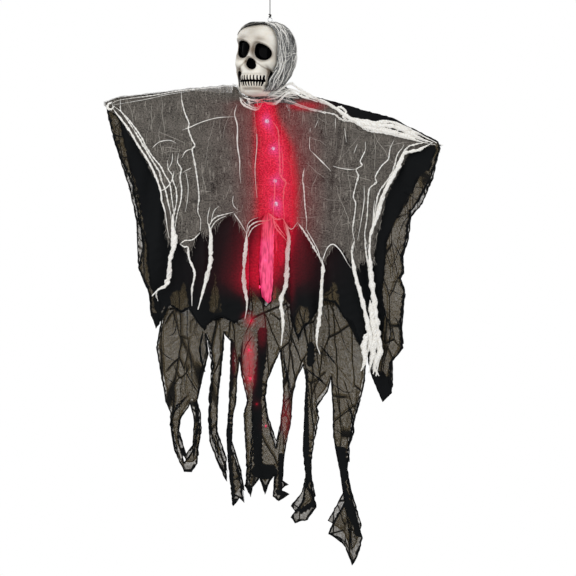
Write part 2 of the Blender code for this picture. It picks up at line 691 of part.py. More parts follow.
def hanging_cord(material):
    """The loop, its knot, the cord and the knot at the eyelet, from the top down."""
    loop_points = []
    count = 16
    for i in range(count):
        angle = 2 * math.pi * i / count
        loop_points.append((
            LOOP_WIDTH / 2 * math.cos(angle),
            0,
            CORD_RADIUS - LOOP_HEIGHT / 2 + LOOP_HEIGHT / 2 * math.sin(angle),
        ))
    tube("hang_loop", loop_points, CORD_RADIUS, material, cyclic=True)
    knot_centre = -LOOP_HEIGHT - CLEARANCE - KNOT_RADIUS
    ball("hang_knot", (0, 0, knot_centre), KNOT_RADIUS, material)
    ring_top = EYELET_CENTRE + EYELET_RING_RADIUS + EYELET_WIRE_RADIUS
    low_knot = ring_top + CLEARANCE + KNOT_RADIUS
    ball("eyelet_knot", (0, 0, low_knot), KNOT_RADIUS, material)
    cord_top = knot_centre - KNOT_RADIUS - CLEARANCE
    cord_low = low_knot + KNOT_RADIUS + CLEARANCE
    count = 8
    cord_points = [(0, 0, cord_low + (cord_top - cord_low) * i / count) for i in range(count + 1)]
    tube("hang_cord", cord_points, CORD_RADIUS, material)


def neck(stem_material, nut_material, gauze):
    """The stem turns in the hub's bore, and the push nut below carries the hub."""
    turned("neck_stem", [(STEM_RADIUS, STEM_BOTTOM), (STEM_RADIUS, STEM_TOP)], stem_material, 16)
    nut = turned(
        "stem_push_nut",
        [(NUT_RADIUS, NUT_TOP - NUT_THICKNESS), (NUT_RADIUS, NUT_TOP)],
        nut_material,
        16,
    )
    bore_radius = STEM_RADIUS + CLEARANCE
    bore = turned(
        "nut_bore_cutter",
        [(bore_radius, NUT_TOP - NUT_THICKNESS - CUT_OVERRUN), (bore_radius, NUT_TOP + CUT_OVERRUN)],
        nut_material,
        16,
    )
    combine(nut, bore, "DIFFERENCE")
    tie = torus("neck_tie", NECK_TIE_RADIUS, NECK_TIE_TUBE, gauze)
    tie.location = (0, 0, HUB_TOP + CLEARANCE + NECK_TIE_TUBE)


def cross_cylinder(name, radius, low_y, high_y, x, z, material, sides=14):
    """A cylinder along Y."""
    obj = turned(name, [(radius, low_y), (radius, high_y)], material, sides)
    obj.rotation_euler = (-math.pi / 2, 0, 0)
    obj.location = (x, 0, z)
    return obj


def shoulder_hub(material):
    """The bar across the shoulders: a bore for the neck and a clevis at each end for an arm."""
    hub = block(
        "shoulder_hub",
        (-HUB_HALF_LENGTH, -HUB_HALF_DEPTH, HUB_BOTTOM),
        (HUB_HALF_LENGTH, HUB_HALF_DEPTH, HUB_TOP),
        material,
    )
    bore_radius = STEM_RADIUS + CLEARANCE
    bore = turned(
        "neck_bore_cutter",
        [(bore_radius, HUB_BOTTOM - CUT_OVERRUN), (bore_radius, HUB_TOP + CUT_OVERRUN)],
        material,
        16,
    )
    combine(hub, bore, "DIFFERENCE")
    slot_half = ARM_WIRE_RADIUS + CLEARANCE
    for side, sign in (("left", -1), ("right", 1)):
        ends = sorted((sign * CLEVIS_SLOT_START, sign * (HUB_HALF_LENGTH + CUT_OVERRUN)))
        slot = block(
            f"{side}_slot_cutter",
            (ends[0], -slot_half, HUB_BOTTOM - CUT_OVERRUN),
            (ends[1], slot_half, HUB_TOP + CUT_OVERRUN),
            material,
        )
        combine(hub, slot, "DIFFERENCE")
        hole = cross_cylinder(
            f"{side}_rivet_hole_cutter",
            RIVET_RADIUS + CLEARANCE,
            -HUB_HALF_DEPTH - CUT_OVERRUN,
            HUB_HALF_DEPTH + CUT_OVERRUN,
            sign * ARM_PIVOT_X,
            -HUB_DROP,
            material,
        )
        combine(hub, hole, "DIFFERENCE")
        screw_hole = cross_cylinder(
            f"{side}_screw_hole_cutter",
            CASE_SCREW_RADIUS + CLEARANCE,
            HUB_HALF_DEPTH - CASE_SCREW_DEPTH - CLEARANCE,
            HUB_HALF_DEPTH + CUT_OVERRUN,
            sign * CASE_SCREW_X,
            -HUB_DROP,
            material,
            10,
        )
        combine(hub, screw_hole, "DIFFERENCE")
    return hub


def arm_rivet(side, sign, material):
    half = HUB_HALF_DEPTH + CLEARANCE
    head = half + RIVET_HEAD_HEIGHT
    rivet = turned(
        f"{side}_arm_rivet",
        [
            (RIVET_HEAD_RADIUS, -head),
            (RIVET_HEAD_RADIUS, -half),
            (RIVET_RADIUS, -half),
            (RIVET_RADIUS, half),
            (RIVET_HEAD_RADIUS, half),
            (RIVET_HEAD_RADIUS, head),
        ],
        material,
        14,
    )
    rivet.rotation_euler = (-math.pi / 2, 0, 0)
    rivet.location = (sign * ARM_PIVOT_X, 0, -HUB_DROP)
    return rivet


def arm(side, sign, length, droop_deg, wire, gauze, thread):
    """A stiff wire with a flat eye at the shoulder, and the two ties that hold the cloth to it."""
    pivot = bpy.data.objects.new(f"{side}_shoulder_axis", None)
    bpy.context.scene.collection.objects.link(pivot)
    pivot.location = (sign * ARM_PIVOT_X, 0, -HUB_DROP)
    droop = math.radians(droop_deg)
    direction = Vector((sign * math.cos(droop), 0, -math.sin(droop)))
    along = direction.to_track_quat("Z", "Y").to_euler()

    eye = turned(
        f"{side}_arm_wire",
        [(ARM_RING_RADIUS, -ARM_WIRE_RADIUS), (ARM_RING_RADIUS, ARM_WIRE_RADIUS)],
        wire,
        16,
    )
    eye.parent = pivot
    eye.rotation_euler = (-math.pi / 2, 0, 0)
    rod_radius = ARM_WIRE_RADIUS * ARM_ROD_SHARE
    rod = turned(
        f"{side}_arm_rod",
        [(rod_radius, ARM_ROD_START_SHARE * ARM_RING_RADIUS), (rod_radius, length)],
        wire,
        8,
    )
    rod.rotation_euler = along
    combine(eye, rod, "UNION")
    rod.parent = pivot
    hole = turned(
        f"{side}_eye_cutter",
        [
            (RIVET_RADIUS + CLEARANCE, -ARM_WIRE_RADIUS - CUT_OVERRUN),
            (RIVET_RADIUS + CLEARANCE, ARM_WIRE_RADIUS + CUT_OVERRUN),
        ],
        wire,
        14,
    )
    hole.rotation_euler = (-math.pi / 2, 0, 0)
    combine(eye, hole, "DIFFERENCE")
    hole.parent = pivot

    ties = (("wrist_tie", WRIST_TIE_SHARE, gauze), ("sleeve_tie", SLEEVE_TIE_SHARE, thread))
    for name, share, material in ties:
        tie = torus(f"{side}_{name}", TIE_RADIUS, TIE_TUBE, material)
        tie.parent = pivot
        tie.rotation_euler = along
        tie.location = direction * length * share


def battery_case(material):
    """A flat box for two coin cells, open behind, with an ear that is screwed to the hub."""
    top, low = -CASE_TOP_DROP, -CASE_TOP_DROP - CASE_HEIGHT
    case = block(
        "battery_case",
        (-CASE_HALF_WIDTH, CASE_FRONT, low),
        (CASE_HALF_WIDTH, CASE_BACK, top),
        material,
    )
    ear = block(
        "case_ear",
        (-EAR_HALF_WIDTH, CASE_FRONT, top - 2 * CASE_WALL),
        (EAR_HALF_WIDTH, CASE_FRONT + EAR_THICKNESS, -EAR_TOP_DROP),
        material,
    )
    combine(case, ear, "UNION")
    cavity = block(
        "case_cavity_cutter",
        (-CASE_HALF_WIDTH + CASE_SIDE_WALL, CAVITY_FLOOR, low + CASE_SIDE_WALL),
        (CASE_HALF_WIDTH - CASE_SIDE_WALL, CASE_BACK + CUT_OVERRUN, top - CASE_SIDE_WALL),
        material,
    )
    combine(case, cavity, "DIFFERENCE")
    rebate = block(
        "lid_rebate_cutter",
        (-LID_HALF_WIDTH - CLEARANCE, LID_FRONT - CLEARANCE, low - CUT_OVERRUN),
        (LID_HALF_WIDTH + CLEARANCE, CASE_BACK + CUT_OVERRUN, top - CASE_WALL + CLEARANCE),
        material,
    )
    combine(case, rebate, "DIFFERENCE")
    slot = block(
        "switch_slot_cutter",
        (CASE_HALF_WIDTH - 2 * CASE_WALL, switch_y() - SWITCH_SLOT_WIDTH / 2, switch_slot_low()),
        (
            CASE_HALF_WIDTH + CUT_OVERRUN,
            switch_y() + SWITCH_SLOT_WIDTH / 2,
            switch_slot_low() + SWITCH_SLOT_HEIGHT,
        ),
        material,
    )
    combine(case, slot, "DIFFERENCE")
    for sign in (-1, 1):
        hole = cross_cylinder(
            f"ear_hole_cutter_{sign}",
            CASE_SCREW_RADIUS + CLEARANCE,
            CASE_FRONT - CUT_OVERRUN,
            CASE_FRONT + EAR_THICKNESS + CUT_OVERRUN,
            sign * CASE_SCREW_X,
            -HUB_DROP,
            material,
            10,
        )
        combine(case, hole, "DIFFERENCE")
    return case


def switch_y():
    return (CAVITY_FLOOR + LID_FRONT) / 2


def switch_slot_low():
    return -CASE_TOP_DROP - SWITCH_SLOT_DROP_SHARE * CASE_HEIGHT


def case_screw(side, sign, material):
    seat = CASE_FRONT + EAR_THICKNESS + CLEARANCE
    screw = turned(
        f"case_screw_{side}",
        [
            (CASE_SCREW_RADIUS, HUB_HALF_DEPTH - CASE_SCREW_DEPTH),
            (CASE_SCREW_RADIUS, seat),
            (CASE_SCREW_HEAD_RADIUS, seat),
            (CASE_SCREW_HEAD_RADIUS, seat + CASE_SCREW_HEAD_HEIGHT),
        ],
        material,
        10,
    )
    screw.rotation_euler = (-math.pi / 2, 0, 0)
    screw.location = (sign * CASE_SCREW_X, 0, -HUB_DROP)
    return screw


def battery_lid(material):
    """The cover at the back, which slides down out of its rebate."""
    top = -CASE_TOP_DROP - CASE_WALL
    low = -CASE_TOP_DROP - CASE_HEIGHT
    lid = block(
        "battery_lid",
        (-LID_HALF_WIDTH, LID_FRONT, low),
        (LID_HALF_WIDTH, CASE_BACK, top),
        material,
    )
    ridge = block(
        "lid_ridge",
        (-LID_HALF_WIDTH / 2, CASE_BACK - LID_THICKNESS / 2, low + 4 * LID_THICKNESS),
        (LID_HALF_WIDTH / 2, CASE_BACK + LID_RIDGE_HEIGHT, low + 5 * LID_THICKNESS),
        material,
    )
    combine(lid, ridge, "UNION")
    return lid


def battery_inside(cell, contact, board):
    """The stack between the case's floor and its lid, and the board below it."""
    cavity_top = -CASE_TOP_DROP - CASE_SIDE_WALL
    centre_z = cavity_top - CELL_RADIUS - 4 * CLEARANCE
    y = CAVITY_FLOOR + CLEARANCE
    stack = (
        ("contact_negative", CONTACT_THICKNESS, None),
        ("cell_1", CELL_THICKNESS, CELL_RADIUS),
        ("cell_2", CELL_THICKNESS, CELL_RADIUS),
        ("contact_positive", CONTACT_THICKNESS, None),
    )
    for name, thickness, radius in stack:
        if radius:
            cross_cylinder(name, radius, y, y + thickness, 0, centre_z, cell, 24)
        else:
            block(
                name,
                (-CONTACT_HALF_WIDTH, y, centre_z - CONTACT_LOW_SHARE * CELL_RADIUS),
                (CONTACT_HALF_WIDTH, y + thickness, centre_z + CONTACT_TOP_SHARE * CELL_RADIUS),
                contact,
            )
        y += thickness + CLEARANCE
    low = -CASE_TOP_DROP - CASE_HEIGHT + CASE_SIDE_WALL + CLEARANCE
    block(
        "circuit_board",
        (-BOARD_HALF_WIDTH, CAVITY_FLOOR + CLEARANCE, low),
        (BOARD_HALF_WIDTH, CAVITY_FLOOR + CLEARANCE + BOARD_THICKNESS, low + BOARD_HEIGHT),
        board,
    )


def switch_slider(material):
    """A knob in the case's right wall, with a wider foot behind the wall."""
    y = switch_y()
    low = switch_slot_low() + CLEARANCE
    half = SWITCH_SLOT_WIDTH / 2 - CLEARANCE
    inner_wall = CASE_HALF_WIDTH - CASE_SIDE_WALL
    knob = block(
        "switch_slider",
        (inner_wall - 2 * CLEARANCE, y - half, low),
        (CASE_HALF_WIDTH + SWITCH_KNOB_PROUD, y + half, low + SWITCH_KNOB_HEIGHT),
        material,
    )
    foot = block(
        "switch_foot",
        (inner_wall - CASE_WALL, y - 1.5 * half, low - CASE_WALL / 2),
        (inner_wall - CLEARANCE, y + 1.5 * half, low + SWITCH_KNOB_HEIGHT + CASE_WALL / 2),
        material,
    )
    combine(knob, foot, "UNION")
    return knob


def light_string(wire, bead, gland_material):
    """The wire leaves its gland on the case, passes over behind the hub and hangs in the robe."""
    gland_low = -CASE_TOP_DROP + CLEARANCE
    gland = turned(
        "wire_gland",
        [
            (GLAND_RADIUS, gland_low),
            (GLAND_RADIUS, gland_low + GLAND_LENGTH / 3),
            (GLAND_TIP_RADIUS, gland_low + GLAND_LENGTH),
        ],
        gland_material,
        10,
    )
    gland.location = (GLAND_X, GLAND_Y, 0)
    route = smooth_route(LED_WIRE_START_POINTS + LED_POINTS, LED_WIRE_STEPS_PER_POINT)
    tube("led_wire", route, LED_WIRE_RADIUS, wire)
    in_front = LED_WIRE_RADIUS + CLEARANCE + LED_RADIUS
    for number, (x, y, z) in enumerate(LED_POINTS, 1):
        centre = Vector((x, y - in_front, z))
        if number == len(LED_POINTS):
            centre = Vector((x, y, z)) + Vector((0, 0, -CLEARANCE - LED_RADIUS))
        ball(f"led_{number:02d}", centre, LED_RADIUS, bead, 8, 4)


def arm_line(x):
    """Height of the arm, or of the hub's lower edge between the pivots."""
    if abs(x) <= ARM_PIVOT_X:
        return HUB_BOTTOM
    droop = LEFT_ARM_DROOP_DEG if x < 0 else RIGHT_ARM_DROOP_DEG
    return HUB_BOTTOM - (abs(x) - ARM_PIVOT_X) * math.tan(math.radians(droop))


def inside(point, outline):
    x, z = point
    odd = False
    for (x1, z1), (x2, z2) in zip(outline, outline[1:] + outline[:1]):
        if (z1 > z) != (z2 > z) and x < (x2 - x1) * (z - z1) / (z2 - z1) + x1:
            odd = not odd
    return odd


def edge_distance(point, outline):
    p = Vector(point)
    nearest = math.inf
    for a, b in zip(outline, outline[1:] + outline[:1]):
        a, b = Vector(a), Vector(b)
        t = min(max((p - a).dot(b - a) / (b - a).length_squared, 0), 1)
        nearest = min(nearest, (p - a - t * (b - a)).length)
    return nearest


def split_in_flare(outline):
    """The outline with its edges cut short where the cloth leaves the arms, so that layers nest."""
    split = []
    for a, b in zip(outline, outline[1:] + outline[:1]):
        drops = [arm_line(x) - z for x, z in (a, b)]
        length = math.dist(a, b)
        crosses = max(drops) > 0 and min(drops) < CLOTH_FLARE
        count = math.ceil(length / FLARE_EDGE) if crosses else 1
        for i in range(count):
            t = i / count
            split.append((a[0] + t * (b[0] - a[0]), a[1] + t * (b[1] - a[1])))
    return split


def lattice(outline):
    """Points for the inside of a sheet: close rows through the flare, then an even grid."""
    xs, zs = [p[0] for p in outline], [p[1] for p in outline]
    first, last = (math.floor(v / CLOTH_GRID) for v in (min(xs), max(xs) + CLOTH_GRID))
    for column in range(first, last + 1):
        x = column * CLOTH_GRID
        for step in range(FLARE_STEPS + 1):
            yield x, arm_line(x) - CLOTH_FLARE * step / FLARE_STEPS, CLOTH_FLARE / FLARE_STEPS
        shift = 0.5 * (column % 2)
        low = math.floor(min(zs) / CLOTH_GRID)
        high = math.floor((arm_line(x) - CLOTH_FLARE) / CLOTH_GRID - 0.5 - shift)
        for row in range(low, high + 1):
            yield x, (row + shift) * CLOTH_GRID, CLOTH_GRID


def sway(x, z):
    """How far the lower tatters hang forward, in long waves that all layers share."""
    grown = smoothstep((-SWAY_START_DROP - z) / SWAY_GROWTH_DROP)
    wave = math.sin(2 * math.pi * (z / SWAY_LENGTH + x / SWAY_SLANT_LENGTH))
    return SWAY_HEIGHT * grown * (1 + wave)


def cloth(name, outline, near, far, material, holes=(), fold=FOLD_HEIGHT, phase=0.0):
    """A torn sheet cut to an outline in XZ. It leaves the arms at near, flares to far, and has folds."""
    loops = [split_in_flare(loop) for loop in (outline, *holes)]
    points = [p for loop in loops for p in loop]
    edges = []
    start = 0
    for loop in loops:
        edges += [(start + i, start + (i + 1) % len(loop)) for i in range(len(loop))]
        start += len(loop)
    for x, z, spacing in lattice(outline):
        clear = all(edge_distance((x, z), loop) > CLOTH_EDGE_SHARE * spacing for loop in loops)
        if clear and inside((x, z), outline) and not any(inside((x, z), h) for h in holes):
            points.append((x, z))
    flat, _, triangles, *_ = delaunay_2d_cdt([Vector(p) for p in points], edges, [], 1, 1e-7)
    kept = []
    for triangle in triangles:
        middle = sum((flat[i] for i in triangle), Vector((0, 0))) / 3
        if inside(middle, outline) and not any(inside(middle, hole) for hole in holes):
            kept.append(tuple(triangle))

    def depth(x, z):
        below = max(arm_line(x) - z, 0)
        flare = smoothstep(below / CLOTH_FLARE)
        growth = 1 + FOLD_GROWTH * smoothstep(below / FOLD_GROWTH_DROP)
        fanned = 2 * math.pi * x / (1 + below / FOLD_FAN_DROP)
        large = fold * math.sin(fanned / FOLD_LENGTH + phase)
        small_height = SMALL_FOLD_HEIGHT * fold / FOLD_HEIGHT
        small = small_height * math.sin(fanned / SMALL_FOLD_LENGTH + 2 * phase + 1)
        folds = (large + small) * growth * flare
        return near + (far - near) * flare + folds - sway(x, z)

    half = CLOTH_THICKNESS / 2
    front = [(x, depth(x, z) - half, z) for x, z in flat]
    back = [(x, depth(x, z) + half, z) for x, z in flat]
    count = len(flat)
    faces = list(kept) + [tuple(count + i for i in reversed(t)) for t in kept]
    used = {(a, b) for t in kept for a, b in zip(t, t[1:] + t[:1])}
    for a, b in sorted(used):
        if (b, a) not in used:
            faces.append((b, a, count + a, count + b))
    return make_object(name, front + back, faces, material, 60)


def wing_outline(shares, side):
    sign, width = {
        "left": (-1, LEFT_WING_SHARE * LEFT_ARM_LENGTH),
        "right": (1, RIGHT_WING_SHARE * RIGHT_ARM_LENGTH),
    }[side]
    return [
        (sign * (ARM_PIVOT_X + across * width), -GARMENT_TOP_DROP - down * GARMENT_LENGTH)
        for across, down in shares
    ]


def torso_outline(shares, reach, length_share=1.0):
    """length_share shortens what hangs below the middle."""
    outline = []
    for across, down in shares:
        full = min(down, BACK_SHORTENS_FROM_SHARE)
        lower = full + (down - full) * length_share
        outline.append((across * reach, -GARMENT_TOP_DROP - lower * GARMENT_LENGTH))
    return outline


def garments(gauze, net, liner):
    """Gauze cape over black net sleeves over the torn net robe, in front and behind."""
    wings = (
        ("left", CAPE_LEFT_SHARES, SLEEVE_LEFT_SHARES, SLEEVE_BACK_LEFT_SHARES),
        ("right", CAPE_RIGHT_SHARES, SLEEVE_RIGHT_SHARES, SLEEVE_BACK_RIGHT_SHARES),
    )
    for side, cape_shares, sleeve_shares, sleeve_back_shares in wings:
        cape = wing_outline(cape_shares, side)
        cloth(f"cape_{side}", cape, CAPE_FRONT_NEAR, CAPE_FRONT_FAR, gauze, phase=0.7)
        cloth(f"cape_back_{side}", cape, CAPE_BACK_NEAR, CAPE_BACK_FAR, gauze, phase=2.1)
        cloth(f"sleeve_{side}_front", wing_outline(sleeve_shares, side),
              SLEEVE_FRONT_NEAR, SLEEVE_FRONT_FAR, net, phase=0.7)
        cloth(f"sleeve_{side}_back", wing_outline(sleeve_back_shares, side),
              SLEEVE_BACK_NEAR, SLEEVE_BACK_FAR, net, phase=2.1)
    centre = torso_outline(CAPE_CENTRE_SHARES, ARM_PIVOT_X)
    cloth("cape_centre", centre, SLEEVE_FRONT_NEAR, CAPE_FRONT_FAR, gauze, phase=0.7)
    cloth("cape_back_centre", centre, CAPE_BACK_CENTRE_NEAR, CAPE_BACK_FAR, gauze, phase=2.1)
    holes = [torso_outline(hole, GARMENT_REACH) for hole in ROBE_HOLE_SHARES]
    cloth("robe_front", torso_outline(ROBE_SHARES, GARMENT_REACH),
          ROBE_FRONT_NEAR, ROBE_FRONT_FAR, net, holes, phase=0.7)
    back_holes = [torso_outline(hole, GARMENT_REACH, BACK_LENGTH_SHARE) for hole in ROBE_HOLE_SHARES]
    cloth("robe_back", torso_outline(ROBE_SHARES, GARMENT_REACH, BACK_LENGTH_SHARE),
          ROBE_BACK_NEAR, ROBE_BACK_FAR, net, back_holes, phase=2.1)
    cloth("inner_liner", torso_outline(LINER_SHARES, GARMENT_REACH),
          LINER_NEAR, LINER_FAR, liner, fold=LINER_FOLD_HEIGHT)


def main():
    clear_scene()
    cord = make_material("dark_cord", "#2B2724", 0.75)
    steel = make_material("zinc_plated_steel", "#A9A8A2", 0.35, 1.0)
    skull = make_material("ivory_plastic", "#E8E0D2", 0.42)
    foam = make_material("white_foam", "#E4E2DC", 0.90)
    gauze = make_material("grey_gauze", "#8E8884", 0.95)
    net = make_material("black_net", "#1B1D1D", 0.85)
    liner = make_material("pink_liner", "#D8467C", 0.80)
    plastic = make_material("black_plastic", "#191A1B", 0.45)
    copper = make_material("copper_wire", "#B46A3C", 0.35, 1.0)
    resin = make_material("clear_resin", "#F2C9D4", 0.15)
    board = make_material("green_board", "#2F6B3E", 0.50)
    thread = make_material("black_thread", "#161616", 0.85)

    hanging_cord(cord)
    crown_eyelet(steel)
    skull_face(skull)
    head_core(foam)
    hood(gauze)
    neck(plastic, steel, gauze)
    shoulder_hub(plastic)
    arm_rivet("left", -1, steel)
    arm_rivet("right", 1, steel)
    arm("left", -1, LEFT_ARM_LENGTH, LEFT_ARM_DROOP_DEG, steel, gauze, thread)
    arm("right", 1, RIGHT_ARM_LENGTH, RIGHT_ARM_DROOP_DEG, steel, gauze, thread)
    battery_case(plastic)
    case_screw("left", -1, steel)
    case_screw("right", 1, steel)
    battery_lid(plastic)
    battery_inside(steel, steel, board)
    switch_slider(plastic)
    light_string(copper, resin, plastic)
    garments(gauze, net, liner)


main()
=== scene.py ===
"""Hanging skeleton ghost: a hooded skull face on a cord, with torn gauze and net over wire arms.

Metres, +Z up, the figure faces -Y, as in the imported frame. The camera and the two cords come
first, then the skull face, the hood, the cloth from the inside out, the loose strands, the ties,
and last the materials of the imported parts, the light and the floor.
"""

import math

import bpy
import numpy as np
from mathutils import Matrix, Vector
from mathutils.geometry import delaunay_2d_cdt


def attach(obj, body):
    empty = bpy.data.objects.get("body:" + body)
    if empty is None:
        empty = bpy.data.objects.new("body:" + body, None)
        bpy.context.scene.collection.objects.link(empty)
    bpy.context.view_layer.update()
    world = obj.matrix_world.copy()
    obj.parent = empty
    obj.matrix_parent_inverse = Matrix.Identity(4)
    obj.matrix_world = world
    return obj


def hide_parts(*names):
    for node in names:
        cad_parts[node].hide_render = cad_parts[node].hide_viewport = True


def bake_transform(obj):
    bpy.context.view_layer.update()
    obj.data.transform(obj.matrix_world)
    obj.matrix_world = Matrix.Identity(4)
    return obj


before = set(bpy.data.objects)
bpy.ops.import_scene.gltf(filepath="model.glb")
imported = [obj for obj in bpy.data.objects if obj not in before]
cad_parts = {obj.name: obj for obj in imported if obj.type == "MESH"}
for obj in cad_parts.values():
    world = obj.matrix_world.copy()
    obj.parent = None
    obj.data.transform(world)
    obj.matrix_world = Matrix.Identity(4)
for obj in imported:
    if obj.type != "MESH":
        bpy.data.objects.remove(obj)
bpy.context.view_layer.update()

TURN = 2 * math.pi

# Camera: level, far enough for the photograph's flat look. One pixel is 1.66 mm at the arms.
CAMERA_AT = (0.0299, -3.0, -0.5166)
PIXEL = 0.00166
PICTURE_SIDE = 576

# Arms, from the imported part
ARM_PIVOT_X = 0.0310
HUB_BOTTOM = -0.2120
ARM_HEIGHT = -0.2050
DROOP = {"left": math.radians(1.5), "right": math.radians(16.5)}
SIGN = {"left": -1, "right": 1}
ARM_LENGTH = {"left": 0.2415, "right": 0.2645}
HEAD_PLACE = Matrix.Translation((0, 0, -0.1330)) @ Matrix.Rotation(math.radians(-30), 4, "Z")

# Cloth layers: y close to the arms, y further down, the fold's phase. Below the arms a layer
# moves from the first to the second over CLOTH_FLARE.
CLOTH_FLARE = 0.0450
SHEET_THICKNESS = 0.0005
LAYERS = {
    "liner": (-0.0055, -0.0068, 0.7),
    "robe_front": (-0.0068, -0.0145, 0.7),
    "sleeve_front": (-0.0087, -0.0225, 0.7),
    "cape_front": (-0.0106, -0.0305, 0.7),
    "cape_middle": (-0.0122, -0.0335, 0.7),
    "robe_back": (0.0106, 0.0300, 2.1),
    "sleeve_back": (0.0087, 0.0380, 2.1),
    "cape_back": (0.0112, 0.0460, 2.1),
    "cape_back_middle": (0.0135, 0.0490, 2.1),
}
# Folds of the cloth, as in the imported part: they deepen and fan out further down
FOLD_LENGTH, FOLD_HEIGHT = 0.0620, 0.0020
SMALL_FOLD_LENGTH, SMALL_FOLD_HEIGHT = 0.0330, 0.0009
FOLD_GROWTH, FOLD_GROWTH_DROP, FOLD_FAN_DROP = 1.9, 0.4500, 0.9000

# Cut outlines of the cloth as (x, z) in millimetres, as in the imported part
CAPE_LEFT = [
    (-32.3, -202.4), (-50, -192), (-58, -181.5), (-75, -181.5), (-110, -185), (-147.7, -188.3),
    (-253.9, -201.6), (-274, -209.4),
    (-272.2, -218), (-262.2, -226.5), (-250.6, -231.2), (-235.8, -254.6), (-215.7, -287.4),
    (-199.2, -317.8), (-182.6, -349), (-174.3, -378.6), (-171.1, -412.2), (-167.5, -441.8),
    (-161, -453.5), (-152.7, -440.3), (-142.7, -452), (-132.9, -465.2), (-122.9, -437.1),
    (-111.3, -425.4), (-103, -434), (-94.5, -422.3), (-79.7, -407.5), (-61.4, -394.2),
    (-49.8, -413.7), (-39.8, -434), (-32.3, -430.1),
]
CAPE_RIGHT = [
    (32.3, -202.4), (72.9, -199.6), (111.1, -218), (134.4, -232), (175.8, -242.9), (243.9, -271),
    (269.5, -274.9), (275.5, -281.1), (257.4, -284.3), (232.3, -292.8), (219, -312.3),
    (207.5, -337.3), (195.9, -357.6), (189.1, -378.6), (182.6, -407.5), (174.3, -437.1),
    (171.1, -473.8), (166, -494.9), (159.3, -473.8), (149.5, -473.8), (141.2, -490.2),
    (134.4, -475.4), (121.1, -456.6), (107.8, -444.9), (96.3, -460.5), (88, -475.4), (79.7, -463.7),
    (68.1, -441.8), (54.8, -420.8), (44.8, -409.1), (38.3, -422.3), (32.3, -434),
]
SLEEVE_LEFT = [
    (-32.3, -202.4), (-61.1, -194.6), (-147.7, -189.9), (-253.9, -202.4), (-272, -210.2),
    (-267.2, -234.3), (-252.4, -287.4), (-227.5, -344.3), (-219, -388.8), (-210.7, -435.6),
    (-209.2, -447.3), (-217.5, -483.2), (-197.7, -526.8), (-195.9, -556.5), (-187.6, -583),
    (-176.1, -565.1), (-166, -544.8), (-146, -558), (-132.9, -550.2), (-119.6, -572.9),
    (-107.8, -586.1), (-96.3, -569.7), (-79.7, -563.5), (-58.1, -574.4), (-41.5, -563.5),
    (-32.3, -553.4),
]
SLEEVE_RIGHT = [
    (32.3, -202.4), (56.1, -194.6), (114.6, -210.9), (204.2, -235.9), (235.8, -253.1),
    (278.2, -274.1), (282.3, -285.8), (267.2, -329.5), (247.4, -370.8), (232.3, -390.3),
    (225.8, -434), (219, -460.5), (220.8, -490.2), (214.2, -498.8), (222.5, -521.4),
    (215.7, -574.4), (219, -615), (199.2, -641.5), (200.9, -689.1), (185.9, -703.9), (177.6, -686),
    (166, -656.3), (159.3, -619.7), (146, -603.3), (136.2, -572.9), (122.9, -566.6),
    (106.3, -540.1), (89.7, -537), (69.7, -566.6), (54.8, -583), (46.6, -603.3), (39.8, -583),
    (32.3, -563.5),
]
SLEEVE_BACK_LEFT = [
    (-61.1, -196.1), (-147.7, -191.4), (-253.9, -202.4), (-272, -210.2), (-267.2, -234.3),
    (-256.9, -287.4), (-235.8, -353.7), (-225.8, -403.6), (-222.5, -473.8), (-204.2, -523.7),
    (-200.9, -563.5), (-190.9, -572.9), (-177.6, -537), (-157.8, -546.3), (-139.4, -533.1),
    (-106.3, -551.8), (-61.1, -540.1),
]
SLEEVE_BACK_RIGHT = [
    (61.1, -196.9), (114.6, -209.4), (204.2, -234.3), (235.8, -251.5), (278.2, -274.1),
    (282.3, -285.8), (274, -332.6), (255.7, -375.5), (237.3, -397.4), (232.3, -437.1),
    (224, -463.7), (225.8, -491.7), (219, -503.4), (227.5, -526.8), (222.5, -578.3), (224, -609.5),
    (206, -636), (206, -682.8), (192.7, -693), (182.6, -653.2), (169.3, -611.1), (152.7, -599.4),
    (139.4, -569.7), (106.3, -544), (61.1, -551.8),
]
